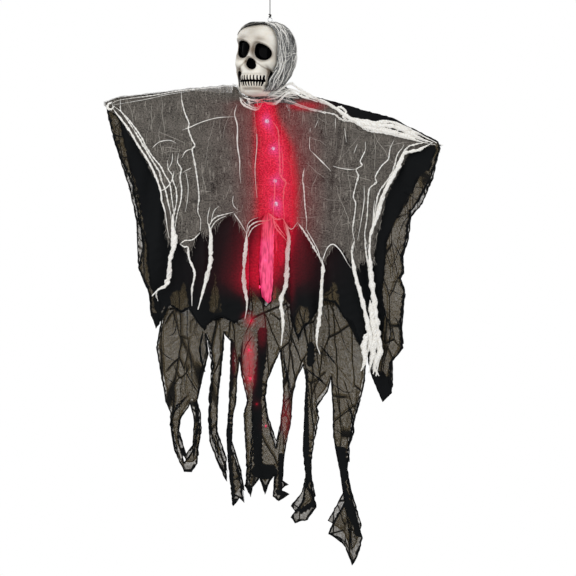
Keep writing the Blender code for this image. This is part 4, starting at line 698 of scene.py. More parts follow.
METAL = {"Metallic": 1.0}
CAPE_GAUZE = cape_gauze()
BLACK_NET = black_net()
HOOD_GAUZE = hood_gauze()
STRAND = strand_cotton()
STRAY = stray_cotton()
LINER_SATIN = liner_satin()
SKULL = skull_plastic()
CORD_NYLON = laid_thread("dark_nylon_braided", ("#1d1c1b", "#4a4744"), 0.0010)
TIE_THREAD = laid_thread("black_polyester_wound", ("#101010", "#3a3a3a"), 0.0008)
ZINC_STEEL = speckled("zinc_plated_steel", ("#9fa2a3", "#c3c5c5"), 0.0012, 0.38, 0.00005, METAL)
NICKEL_STEEL = speckled("nickel_plated_steel_pressed", ("#b4b1a9", "#d2cfc7"), 0.0010, 0.28,
                        0.00004, METAL)
CASE_ABS = speckled("black_abs_moulded", ("#141415", "#232325"), 0.0006, 0.55, 0.00008,
                    {"IOR": 1.54})
IVORY_HUB = speckled("ivory_polypropylene_part", ("#d8d0c0", "#e6dfd2"), 0.0015, 0.45, 0.00008,
                     {"IOR": 1.49})
COPPER_WIRE = speckled("enamelled_copper_drawn", ("#9c4a2c", "#c4683f"), 0.0010, 0.35, 0.00004,
                       METAL)
BOARD_GREEN = speckled("green_epoxy_board_laminated", ("#1b5a34", "#27774a"), 0.0009, 0.42, 0.00005,
                       {"IOR": 1.55})
FOAM = foam_beads()
LIT_RESIN = lit_resin()


# ---------------------------------------------------------------- camera and cords


def photo_camera():
    data = bpy.data.cameras.new("photo_camera")
    data.sensor_width = 36
    data.lens = 36 * -CAMERA_AT[1] / (PICTURE_SIDE * PIXEL)
    data.clip_end = 60
    camera = bpy.data.objects.new("photo_camera", data)
    camera.location = CAMERA_AT
    camera.rotation_euler = (math.pi / 2, 0, 0)
    bpy.context.scene.collection.objects.link(camera)
    bpy.context.scene.camera = camera


def cord_curve(name, points, radius, finish):
    curve = bpy.data.curves.new(name, "CURVE")
    curve.dimensions = "3D"
    curve.bevel_depth = radius
    curve.bevel_resolution = 4
    curve.use_fill_caps = True
    spline = curve.splines.new("POLY")
    spline.points.add(len(points) - 1)
    for spline_point, point in zip(spline.points, points):
        spline_point.co = (*point, 1)
    curve.materials.append(finish)
    piece = bpy.data.objects.new(name, curve)
    bpy.context.scene.collection.objects.link(piece)
    return piece


KNOT_SIZE = 0.0024


def knot(name, height):
    """Cord wound round itself: three slanting turns that cross over."""
    t = np.linspace(0, 1, 78)
    spin = TURN * 3 * t
    rise = KNOT_SIZE * 0.95 * np.sin(TURN * t * 1.5 + 0.4) * 0.9
    radius = KNOT_SIZE * 0.62 * (1 + 0.12 * np.sin(spin * 0.5))
    line = np.column_stack([radius * np.cos(spin), radius * np.sin(spin), rise + height])
    return new_piece(name, *tubes([(line, KNOT_SIZE * 0.40)], 8), CORD_NYLON)


def hanging_cord():
    """From the screw eye in the crown up to the knot, and round the loop that a hook bears on."""
    low, high = -0.0660, -0.0267
    rise = [(0.0, 0.0, z) for z in np.linspace(low, high, 14)]
    loop = []
    for turn in np.linspace(-90, 262, 44):
        a = math.radians(turn)
        aside, up = 0.0009 * math.sin(a / 2 + 0.8), -0.01145 + 0.01215 * math.sin(a)
        loop.append((0.0060 * math.cos(a), aside, up))
    tail = [(-0.0006, 0.0003, -0.0245), (-0.0007, 0.0004, -0.0265)]
    points = rise + [(0.0, 0.0, -0.0250)] + loop[1:] + tail
    cord = cord_curve("hanging_cord", points, 0.0007, CORD_NYLON)
    knots = [knot("loop_knot", -0.0270), knot("crown_knot", -0.0643)]
    for piece in (cord, *knots):
        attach(piece, "hanger")
    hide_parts("hang_loop", "hang_cord")
    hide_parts("hang_knot")
    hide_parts("eyelet_knot")


# Route of the light string's wire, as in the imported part
LIGHT_WIRE_START = [
    (0.0170, 0.0135, -0.2544), (0.0170, 0.0134, -0.2450), (0.0170, 0.0120, -0.2330),
    (0.0166, 0.0080, -0.2240), (0.0150, 0.0025, -0.2212), (0.0100, 0.0004, -0.2260),
]
LIGHTS = [(-0.0050, 0.0, -0.2420), (0.0055, 0.0, -0.2875), (0.0086, 0.0, -0.3406),
          (0.0102, 0.0, -0.3783), (0.0050, 0.0, -0.4294), (-0.0070, 0.0, -0.4705),
          (-0.0174, 0.0, -0.5149), (-0.0312, 0.0, -0.5713), (-0.0350, 0.0, -0.6195),
          (-0.0325, 0.0, -0.6666), (-0.0215, 0.0, -0.7080), (-0.0068, 0.0, -0.7440)]


def light_string():
    """The thin wire of the string and the drop of resin over each of its lights."""
    route = catmull(LIGHT_WIRE_START + LIGHTS, 0.006)
    wire = cord_curve("light_wire", route.tolist(), 0.0005, COPPER_WIRE)
    points, faces, heat, start = [], [], [], 0
    for number, (x, y, z) in enumerate(LIGHTS):
        last = number == len(LIGHTS) - 1
        centre = np.array((x, y - (0.0 if last else 0.0021), z - (0.0020 if last else 0.0)))
        rings = []
        for row in range(9):
            a = math.pi * (row + 0.5) / 9
            around = TURN * np.arange(14) / 14
            r = 0.0017 * math.sin(a)
            rings.append(centre + np.column_stack([r * np.cos(around), r * np.sin(around),
                                                   np.full(14, 0.0026 * math.cos(a))]))
            heat += [0.25 + 0.75 * math.sin(a) ** 3] * 14
        p, f = loft(rings)
        points.append(p)
        faces += [tuple(i + start for i in face) for face in f]
        start += len(p)
    beads = new_piece("light_beads", np.vstack(points), faces, LIT_RESIN, heat=heat)
    for piece, slot in ((wire, "copper_wire"), (beads, "clear_resin")):
        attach(piece, "torso")
    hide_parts("led_wire")
    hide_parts(*[f"led_{n:02d}" for n in range(1, 13)])


# ---------------------------------------------------------------- skull face


SKULL_PROFILE = [
    (1.00, 0.26, 0.18), (0.95, 0.48, 0.44), (0.86, 0.70, 0.68), (0.70, 0.88, 0.86),
    (0.50, 0.97, 0.95), (0.25, 1.00, 0.98), (0.00, 0.98, 0.99), (-0.12, 0.97, 1.00),
    (-0.24, 0.95, 0.98), (-0.36, 0.92, 0.98), (-0.50, 0.88, 1.00), (-0.66, 0.84, 0.99),
    (-0.80, 0.80, 0.95), (-0.90, 0.71, 0.86), (-0.96, 0.56, 0.70), (-1.00, 0.34, 0.42),
]
UPPER_GAPS = (0.0, 0.0062, 0.0121, 0.0172, 0.0213)
LOWER_GAPS = (0.0, 0.0054, 0.0106, 0.0153, 0.0193)
# Height where the rows of teeth meet, over the face's middle
TOOTH_LINE = -0.0402
# The face's half width, its depth, and how far it reaches over and under its middle
FACE_WIDE, FACE_DEEP, FACE_UP, FACE_DOWN = 0.0400, 0.0480, 0.0510, 0.0685
# Soft forms of the face, the same on both sides: how far they are pressed in, or raised where the
# number is negative, then their middle and width across, then their middle and width upward
PRESSED = [
    (-0.0030, 0.0175, 0.0130, 0.0255, 0.0050),  # brow
    (0.0014, 0, 0.0060, 0.0180, 0.0060),  # between the brows
    (-0.0026, 0, 0.0052, 0.0010, 0.0075),  # bridge of the nose
    (0.0060, 0.0245, 0.0062, -0.0265, 0.0072),  # under the cheekbone
    (0.0032, 0.0375, 0.0080, 0.0200, 0.0180),  # temple
    (-0.0034, 0, 0.0190, -0.0370, 0.0135),  # round the teeth
    (-0.0028, 0, 0.0120, -0.0620, 0.0055),  # chin
    (-0.0016, 0.0240, 0.0060, -0.0560, 0.0070),  # corner of the jaw
]
# Brown painted shade in the face's hollows, in the same order: how strong, where and how wide.
# It is partly the airbrush's brown and partly shade where less light falls
PAINTED_SHADE = [
    (0.65, 0, 0.0065, 0.0120, 0.0110),
    (0.55, 0.0165, 0.0100, 0.0300, 0.0050),
    (0.32, 0, 0.0200, 0.0400, 0.0110),
    (0.45, 0.0250, 0.0065, -0.0255, 0.0080),
    (0.45, 0.0385, 0.0060, 0.0080, 0.0220),
    (0.30, 0, 0.0030, -0.0640, 0.0040),
]


def bell(value, middle, width):
    return np.exp(-(((value - middle) / width) ** 2))


def soft_forms(side, z, table):
    """The sum of a table's soft round forms."""
    total = 0.0
    for amount, across, width, up, height in table:
        total = total + amount * bell(side, across, width) * bell(z, up, height)
    return total


def skull_forms(x, z):
    """How far the face is pressed in, how black it is painted, and how much brown painted
    shade it has.
    """
    # The face sits a little low and aslant in its mould, its eyes more than its teeth
    z = z + 0.0056 + x * (0.05 + 0.13 * smooth((z + 0.0120) / 0.0140))
    side, right = np.abs(x), x < 0
    # Sockets: the figure's right one is the wider, and sits higher
    dx, dz = side - 0.0185, z - 0.0095 - 0.0022 * right
    dx = dx / np.where((dx > 0) & right, 1.30, 1.0)
    dz = dz + (0.09 + 0.08 * np.sign(x)) * dx
    socket_wide = 0.0145 + 0.0010 * right
    socket_high = 0.0155 - 0.0012 * np.sign(dz) - 0.0010 * right
    eye = (np.abs(dx / socket_wide) ** 2.4 + np.abs(dz / socket_high) ** 2.4) ** (1 / 2.4)
    nose_wide = 0.0092 + 0.0012 * smooth((-0.0060 - z) / 0.012)
    nose = np.hypot(x / nose_wide, (z + 0.0122) / 0.0100)
    # The gap behind the teeth, between the cheek and the jaw
    across = (side - 0.0280 - 0.0018 * right) / (0.0034 + 0.0028 * right)
    gap = np.hypot(across, (z + 0.0365) / 0.0160)
    press = soft_forms(side, z, PRESSED)
    press = press + 0.0130 * smooth(2.4 * (1.10 - eye))
    press = press - 0.0016 * bell(eye, 1.28, 0.16) * smooth((z + 0.012) / 0.02)
    press = press + 0.0085 * smooth(2.2 * (1.12 - nose)) - 0.0010 * bell(nose, 1.25, 0.14)
    cheekbone = bell(z + 0.0125 - 0.16 * (side - 0.026), 0, 0.0058)
    cheekbone = cheekbone * smooth((side - 0.0130) / 0.010) * smooth((0.0410 - side) / 0.006)
    press = press - 0.0042 * cheekbone + 0.0060 * smooth(2.0 * (1.15 - gap))
    press = press + 0.0020 * bell(z, -0.0545, 0.0028) * smooth((0.0190 - side) / 0.004)
    enamel = [smooth(5 * (1.03 - eye)), smooth(5 * (1.04 - nose)), smooth(4 * (0.98 - gap))]
    paint = np.maximum.reduce(enamel)
    # Teeth: the line where they meet, then each tooth's round front, its root and its gaps
    line = bell(z, TOOTH_LINE, 0.0019) * (side < 0.0236)
    press = press + 0.0026 * line
    paint = np.maximum(paint, smooth(2.4 * line - 0.6))
    from_line = z - TOOTH_LINE
    near_line = 1 - np.clip(np.abs(from_line) / 0.0085, 0, 1)
    for gaps, low, high, tip in (
        (UPPER_GAPS, TOOTH_LINE, -0.0310, 1),
        (LOWER_GAPS, -0.0485, TOOTH_LINE, -1),
    ):
        within = smooth((z - low) / 0.0010 + 0.5) * smooth((high - z) / 0.0010 + 0.5)
        root = smooth((tip * from_line - 0.0075) / 0.002)
        root = root * smooth((0.0165 - tip * from_line) / 0.006)
        for inner, outer in zip(gaps, gaps[1:]):
            middle, half = (inner + outer) / 2, (outer - inner) / 2
            round_front = np.clip(1 - ((side - middle) / half) ** 2, 0, 1) ** 0.6
            press = press - 0.0013 * within * round_front
            press = press - 0.0006 * root * bell(side, middle, half * 0.6)
        for place in gaps:
            cut = within * bell(side, place, 0.00125 + 0.00070 * near_line)
            press = press + 0.0016 * cut
            paint = np.maximum(paint, smooth(2.2 * cut - 0.65 + 0.25 * near_line) * within)
    # The groove from the nose down to the corner of the jaw
    out, down = 0.0195, 0.0150
    along = ((side - 0.0085) * out - (z + 0.0080) * down) / (out**2 + down**2)
    along = np.clip(along, 0, 1)
    groove = np.hypot(side - 0.0085 - out * along, z + 0.0080 + down * along)
    press = press + 0.0012 * bell(groove, 0, 0.0016)
    # Painted shade: hollows, rims of sockets, nose and jaw gap, groove, under teeth and nose
    shade = soft_forms(side, z, PAINTED_SHADE)
    shade = shade + 0.55 * bell(groove, 0, 0.0014) + 0.55 * bell(eye, 1.02, 0.16)
    shade = shade + 0.55 * bell(nose, 1.05, 0.18) + 0.5 * bell(gap, 1.10, 0.30)
    shade = shade + 0.55 * bell(z, -0.0525, 0.0030) * smooth((0.0230 - side) / 0.006)
    shade = shade + 0.30 * bell(z, -0.0290, 0.0022) * smooth((0.0210 - side) / 0.005)
    return press, paint, np.clip(shade, 0, 1)


def skull_face():
    """The moulded half shell: each row is a C, its outside and then the hollow behind it."""
    rows, columns, inner = 176, 230, 30
    heights = np.linspace(-1, 1, rows)
    heights = np.sign(heights) * (1 - (1 - np.abs(heights)) ** 1.18)
    shares, widths, depths = (np.array(c)[::-1] for c in zip(*SKULL_PROFILE))
    rings, paints, shades = [], [], []
    turn = math.pi * (np.arange(columns) / (columns - 1) - 0.5)
    turn = turn - 0.10 * np.sin(2 * turn)
    back_turn = math.pi * (0.5 - np.arange(inner) / (inner - 1))
    # A soft curve through the profile's rows, so that no row shows as a step
    fine = np.linspace(-1, 1, 400)
    kernel = np.hanning(31) / np.hanning(31).sum()
    soft_width, soft_depth = (
        np.convolve(np.pad(np.interp(fine, shares, values), 15, "edge"), kernel, "valid")
        for values in (widths, depths)
    )
    for share in heights:
        z = share * (FACE_UP if share > 0 else FACE_DOWN)
        ends = smooth(abs(share) * 25 - 23.2)
        width_share, depth_share = (
            np.interp(share, fine, soft) * (1 - ends) + np.interp(share, shares, values) * ends
            for soft, values in ((soft_width, widths), (soft_depth, depths))
        )
        half_width = FACE_WIDE * width_share
        setback = 0.0120 * smooth(-share / 0.45 - 1)
        rim = -0.0200 - setback
        # The brow stands back from the nose and the teeth
        brow = np.interp(z, (-0.0670, -0.0420, -0.0180, 0.0000, 0.0200, 0.0510),
                         (0.86, 0.93, 0.95, 0.91, 0.88, 0.86))
        reach = FACE_DEEP * depth_share * brow - setback
        x = half_width * np.sin(turn)
        # The mouth sits a little to the figure's left
        shifted = x - 0.0030 * smooth((-0.0160 - z) / 0.0120)
        press, paint, shade = skull_forms(shifted, np.full_like(x, z))
        # The hood leaves more of the figure's right temple and jaw free
        jaw = smooth((-0.0150 - z) / 0.0140)
        left_jaw = 1 - 0.08 * jaw - 0.18 * smooth((-0.0490 - z) / 0.0080)
        x = x * np.where(x > 0, left_jaw, 1 + 0.06 * jaw)
        x = x - 0.0040 * smooth((z - 0.0120) / 0.0340)
        fade = smooth(3 * np.cos(turn)) * smooth(9 * (1 - abs(share)))
        y = np.minimum(rim - reach * np.maximum(np.cos(turn), 0) ** 0.46 + press * fade, rim)
        opening = smooth(4 * (1 - abs(share)))
        hollow_width = half_width * (0.60 + 0.28 * opening)
        xi = hollow_width * np.sin(back_turn)
        yi = rim - 0.55 * opening * reach * np.cos(back_turn)
        rings.append(np.column_stack([np.r_[x, xi], np.r_[y, yi], np.full(columns + inner, z)]))
        paints.append(np.r_[paint * fade, np.zeros(inner)])
        shades.append(np.r_[shade * fade, np.zeros(inner)])
    points, faces = loft(rings)
    piece = new_piece("skull_mask", points, faces, SKULL, paint=np.concatenate(paints),
                      shade=np.concatenate(shades))
    piece.data.transform(HEAD_PLACE)
    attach(piece, "head")
    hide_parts("skull_face")


# ---------------------------------------------------------------- hood


HOOD_SHOULDER = 0.0050
HOOD_LOW = 0.0630


def hood_point(back, around, out=0.0):
    """A point of the hood in the head's own space. back runs from 0 at the face to 1 behind,
    around from 0 at the left foot over the crown to 1 at the right foot. The cloth follows the
    face's edge down to the chin, and is gathered in under the jaw and behind the neck."""
    back, around = np.asarray(back, float), np.asarray(around, float)
    y = 0.0048 - np.cos(math.pi * back) * 0.0428
    reach = np.where(y < 0, 0.1180, 0.0478)
    share = np.sqrt(np.maximum(1 - (y / reach) ** 2, 0.0025))
    behind = smooth((y + 0.0330) / 0.0330)
    low = HOOD_LOW - 0.0130 * behind
    foot = (0.0212 - 0.0020 * behind) * share
    top = HOOD_SHOULDER + (0.0478 + 0.0030 * behind) * share + out
    wide = (0.0428 - 0.0012 * behind) * share + out
    leg = 0.27
    left, right = np.clip(around / leg, 0, 1), np.clip((1 - around) / leg, 0, 1)
    t = 1 - np.where(around < 0.5, left, right)
    along_jaw = np.interp(t, (0, 0.31, 0.43, 0.57, 0.72, 0.86, 0.96, 1),
                          (0, 0.08, 0.12, 0.17, 0.26, 0.36, 0.56, 0.82))
    inward = along_jaw + (t**2.2 - along_jaw) * behind
    leg_x = wide - (wide - foot - out) * inward
    leg_z = HOOD_SHOULDER - (HOOD_SHOULDER + low) * t
    angle = math.pi * (1 - (around - leg) / (1 - 2 * leg))
    across = np.sign(np.cos(angle)) * np.abs(np.cos(angle)) ** 0.80
    over = np.abs(np.sin(np.clip(angle, 0, math.pi))) ** 0.80
    on_leg = t > 0
    x = np.where(on_leg, np.where(around < 0.5, -leg_x, leg_x), wide * across)
    z = np.where(on_leg, leg_z, HOOD_SHOULDER + (top - HOOD_SHOULDER) * over)
    # Pleats: soft along the crown, deeper where the cloth is gathered into the neck
    gather = smooth((0.17 - np.minimum(around, 1 - around)) / 0.17)
    pleat = 0.0008 + 0.0008 * ripple(back, around * 0.35, 0.11, 61)
    pleat = pleat + 0.0006 * ripple(back * 0.4, around, 0.09, 62)
    pleat = pleat + gather * 0.0013 * np.sin(TURN * back * 9 + 2 * ripple(back, around, 0.5, 63))
    z = z + pleat * np.where(on_leg, 0.0, over)
    x = x + pleat * np.sign(x) * np.where(on_leg, 1.0, np.abs(across))
    # The front edge sits back on the figure's left temple and forward over the right one
    turned = (0.0010 - 0.0085 * np.clip(x / 0.0428, -1, 1)) * smooth(1 - back / 0.45)
    drawn = np.where(around > 0.5, smooth((t - 0.40) / 0.40), 0.0) * smooth(1 - back / 0.50)
    turned, x = turned - 0.0130 * drawn, x - 0.0050 * drawn
    temple = smooth((z - 0.0240) / 0.0120) * smooth((0.0120 - x) / 0.0200) * smooth(1 - back / 0.30)
    turned = turned - 0.0130 * temple
    # Behind, it is drawn in to the neck
    y = y * (1 - 0.55 * np.clip(t, 0, 1) ** 2 * behind)
    uneven = 0.0012 * ripple(back, around, 0.2, 64)
    y = y + turned + uneven * smooth(around * 9) * smooth((1 - around) * 9)
    return np.stack([x, y, z], -1)


def to_head(points):
    place = np.array(HEAD_PLACE)
    return np.asarray(points) @ place[:3, :3].T + place[:3, 3]


def hood():
    """Doubled gauze over the head, gathered into the neck, open in front for the face."""
    rows, columns = 64, 150
    back = np.linspace(0, 1, rows)
    around = np.linspace(0, 1, columns)
    rings, flat = [], []
    for b in back:
        outside = hood_point(np.full(columns, b), around, 0.0004)
        inside = hood_point(np.full(columns, b), around, -0.0008)[::-1]
        rings.append(np.vstack([outside, inside]))
        over = 0.30 * (around - 0.5)
        flat.append(np.column_stack([np.full(2 * columns, 0.15 * b), np.r_[over, over[::-1]]]))
    points, faces = loft(rings)
    piece = new_piece("gauze_hood", to_head(points), faces, HOOD_GAUZE, weave=np.vstack(flat))

    rng = np.random.default_rng(17)
    lines = []
    taper = np.sin(np.linspace(0.25, 2.9, 22)) ** 0.5
    for k in range(150):
        # Every fourth thread is long, thick and level, the others are short and slant
        long = k % 4 == 0
        b = rng.uniform(0.02, 0.96)
        first = rng.uniform(0.01, 0.90)
        last = min(first + (rng.uniform(0.10, 0.36) if long else rng.uniform(0.03, 0.12)), 0.99)
        steps = np.linspace(first, last, 22)
        slant = rng.uniform(-0.9, 0.9) * (steps - first) * (not long)
        drift = np.clip(b + 0.045 * ripple(steps, k, 0.14, 200 + k) + slant, 0.01, 0.985)
        line = hood_point(drift, steps, 0.0010)
        lines.append((to_head(line),
                      rng.uniform(0.55, 1.0) * (0.00095 if long else 0.00055) * taper))
    for k in range(9):
        a = rng.uniform(0.12, 0.88)
        steps = np.linspace(rng.uniform(0.0, 0.4), rng.uniform(0.55, 0.97), 20)
        line = hood_point(steps, np.clip(a + 0.05 * ripple(steps, k, 0.5, 400 + k), 0.05, 0.95),
                          0.0012)
        lines.append((to_head(line), rng.uniform(0.00025, 0.00045)))
    points, faces = tubes(lines, 5)
    threads = new_piece("hood_threads", points, faces, STRAND, glow=np.zeros(len(points)))

    steps = np.linspace(0.005, 0.995, 110)
    rim = []
    for k in range(3):
        b = 0.012 + 0.016 * k + 0.006 * np.sin(TURN * steps * 9 + k * 2.1)
        rim.append((to_head(hood_point(b, steps, 0.0004)), 0.0008 - 0.0001 * k))
    points, faces = tubes(rim, 7)
    edge = new_piece("hood_rim", points, faces, HOOD_GAUZE, weave=points[:, [0, 2]])
    for made in (piece, threads, edge):
        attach(made, "head")
    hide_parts("hood")


# ---------------------------------------------------------------- cloth


def inside(points, loop):
    """Which points lie inside a closed outline."""
    x, z = points[:, 0][:, None], points[:, 1][:, None]
    a = np.asarray(loop)
    b = np.roll(a, -1, 0)
    spans = (a[:, 1] > z) != (b[:, 1] > z)
    with np.errstate(divide="ignore", invalid="ignore"):
        cross = (b[:, 0] - a[:, 0]) * (z - a[:, 1]) / (b[:, 1] - a[:, 1]) + a[:, 0]
    return (spans & (x < cross)).sum(1) % 2 == 1


def line_distance(points, starts, steps):
    """Distance of each point from the nearest of some straight lines, given by start and step."""
    offset = points[:, None] - starts[None]
    share = np.clip((offset * steps).sum(2) / np.maximum((steps**2).sum(1), 1e-12), 0, 1)
    return np.sqrt(((offset - share[..., None] * steps) ** 2).sum(2)).min(1)


def edge_distance(points, loop):
    """Distance of each point from a closed outline."""
    loop = np.asarray(loop)
    return line_distance(points, loop, np.roll(loop, -1, 0) - loop)


def inside_cut(points, loops):
    """Which points lie inside the first outline and outside the holes that follow it."""
    keep = inside(points, loops[0])
    for hole in loops[1:]:
        keep &= ~inside(points, hole)
    return keep


def torn_edge(loop, seed, jag, step=0.0040):
    """The outline as it tears: short steps in and out of the line."""
    rng = np.random.default_rng(seed)
    out = []
    for a, b in zip(np.asarray(loop), np.roll(np.asarray(loop), -1, 0)):
        count = max(1, int(np.linalg.norm(b - a) / step))
        for i in range(count):
            out.append(a + (b - a) * i / count + rng.normal(0, jag, 2).clip(-2 * jag, 2 * jag))
    return np.array(out)


def wire_distance(x, z):
    """Distance from the light string's line, and from its nearest light, seen from the front."""
    points = np.column_stack([np.ravel(x), np.ravel(z)])
    route = np.array([(p[0], p[2]) for p in LIGHTS])
    lights = np.sqrt(((points[:, None] - route[None]) ** 2).sum(2)).min(1)
    line = line_distance(points, route[:-1], np.diff(route, axis=0))
    return line.reshape(np.shape(x)), lights.reshape(np.shape(x))


# Where the string lights the cloth in a patch of its own: pixel, half width, half height, share
LIT_PATCHES = [
    ((303, 105), 24, 6.5, 0.40), ((249, 362), 7.5, 30, 0.62), ((249.5, 320), 8, 9, 0.42),
    ((285.5, 418), 6, 24, 0.38), ((246, 275), 7, 26, 0.30), ((291, 262), 7, 40, 0.26),
    ((262, 330), 6, 20, 0.28), ((234, 362), 3, 16, 0.26),
]


def glow_at(x, z, spread=1.0):
    """How brightly the string lights the cloth: all down the chest, then only at its lights."""
    line, lights = wire_distance(x, z)
    first = LIGHTS[0]
    line = np.where(z > first[2], np.abs(x - first[0] + 0.12 * (z - first[2])), line)
    chest = smooth((z + 0.545) / 0.05) * smooth((-0.196 - z) / 0.016)
    uneven = 0.90 + 0.10 * ripple(x, z * 0.6, 0.030, 88)
    wide = spread * (0.0165 + 0.0160 * smooth((-0.205 - z) / 0.120))
    glow = 0.60 * chest * np.exp(-((line / wide) ** 2.6)) * uneven
    glow = glow + 0.20 * chest * np.exp(-((line / 0.078) ** 2)) * (1 + 0.35 * smooth(x / 0.03))
    for (px, py), half_width, half_height, share in LIT_PATCHES:
        mx, _, mz = at(px, py, -0.03)
        away = ((x - mx) / (half_width * PIXEL)) ** 2 + ((z - mz) / (half_height * PIXEL)) ** 2
        glow = np.maximum(glow, share * np.exp(-(away**1.5)))
    near = np.exp(-((lights / 0.0095) ** 2)) * 0.14 + np.exp(-((lights / 0.0017) ** 2)) * 0.60
    return np.clip(glow + near, 0, 1)


def torn_sheet(name, outline, layer, finish, seed, jag, grid=0.0060, holes=(), dense=None,
               thin=None, glow=1.0):
    """One layer of torn cloth: a closed thin mesh cut to its outline, hanging in its folds. seed
    and jag are for its torn edge, grid is how far apart its points are. dense, thin and glow give
    the fields that its material reads; a number for glow is a share of the string's light."""
    loops = [torn_edge(loop, seed + i, jag) for i, loop in enumerate((outline, *holes))]
    low, high = loops[0].min(0), loops[0].max(0)
    columns = np.arange(low[0] + grid / 2, high[0], grid)
    rows = np.arange(low[1] + grid / 2, high[1], grid * 0.9)
    cells = np.array([(x + (grid / 2 if r % 2 else 0), z) for r, z in enumerate(rows)
                      for x in columns])
    # Rings of points round each light, so that its small spot of light shows on the cloth
    near_lights = np.array([
        (x + r * math.cos(a), z + r * math.sin(a))
        for x, _, z in LIGHTS
        for r, count in ((0.0, 1), (0.0022, 6), (0.0044, 8))
        for a in TURN * np.arange(count) / count
    ])
    clear = np.sqrt(((cells[:, None] - near_lights[None]) ** 2).sum(2)).min(1) > 0.0030
    cells = np.vstack([cells[clear], near_lights])
    cells = cells[inside_cut(cells, loops)]
    for loop in loops:
        cells = cells[edge_distance(cells, loop) > 0.42 * grid]
    flat, edges, start = [], [], 0
    for loop in loops:
        edges += [(start + i, start + (i + 1) % len(loop)) for i in range(len(loop))]
        flat += loop.tolist()
        start += len(loop)
    flat += cells.tolist()
    points, _, triangles, *_ = delaunay_2d_cdt([Vector(p) for p in flat], edges, [], 1, 1e-7)
    points = np.array([tuple(p) for p in points])
    triangles = np.array([tuple(t) for t in triangles])
    triangles = triangles[inside_cut(points[triangles].mean(1), loops)]
    x, z = points[:, 0], points[:, 1]
    y = depth(layer, x, z)
    half = SHEET_THICKNESS / 2
    count = len(points)
    both = np.vstack([np.column_stack([x, y - half, z]), np.column_stack([x, y + half, z])])
    faces = [tuple(t) for t in triangles] + [tuple(t[::-1] + count) for t in triangles]
    used = {(a, b) for t in triangles.tolist() for a, b in zip(t, t[1:] + t[:1])}
    faces += [(b, a, count + a, count + b) for a, b in sorted(used) if (b, a) not in used]
    rim = np.minimum.reduce([edge_distance(points, loop) for loop in loops])
    cut_edge = 1 - smooth((rim - 0.0008) / 0.0020)
    fields = {
        "dense": np.maximum(dense(x, z, rim), cut_edge) if dense else cut_edge,
        "thin": thin(x, z, rim) if thin else np.ones(count),
        "glow": glow(x, z) if callable(glow) else glow * glow_at(x, z),
    }
    piece = new_piece(name, both, faces, finish, weave=np.vstack([points, points]),
                      **{field: np.tile(values, 2) for field, values in fields.items()})
    a, b, c = (points[triangles[:, corner]] for corner in range(3))
    area = 0.5 * abs(np.cross(b - a, c - a)).sum()
    size = points.max(0) - points.min(0)
    piece["cut"] = (float(size[0]), float(size[1]), float(area))
    return piece


def hang_sheet(node):
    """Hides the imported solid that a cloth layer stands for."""
    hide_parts(node)


def swing(piece):
    """Bakes the piece's place into its mesh, so that it stays where it is drawn, on no body."""
    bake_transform(piece)


def go_with(piece, body):
    """Puts a piece on a body. Where only the side is named, it bakes the piece's place into its
    mesh instead.
    """
    if body in SIGN:
        swing(piece)
    else:
        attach(piece, body)


# Inner border of each sleeve's see-through outer band, in pixels
SLEEVE_BANDS = {
    "left": [
        (113, 113), (119, 119), (123, 135), (128.4, 160.4), (133, 180), (137, 195), (140, 206),
        (141.6, 227), (147, 244), (148, 262), (151, 285), (150, 300), (157, 312),
    ],
    "right": [
        (436, 150), (433.6, 153.5), (429.6, 168.4), (418, 177.6), (413.5, 189), (407.8, 200.5),
        (398.6, 215.5), (391.7, 229.2), (386, 240.7), (384.8, 262), (382, 292), (384, 320),
        (379, 352), (378, 372), (386, 374),
    ],
}


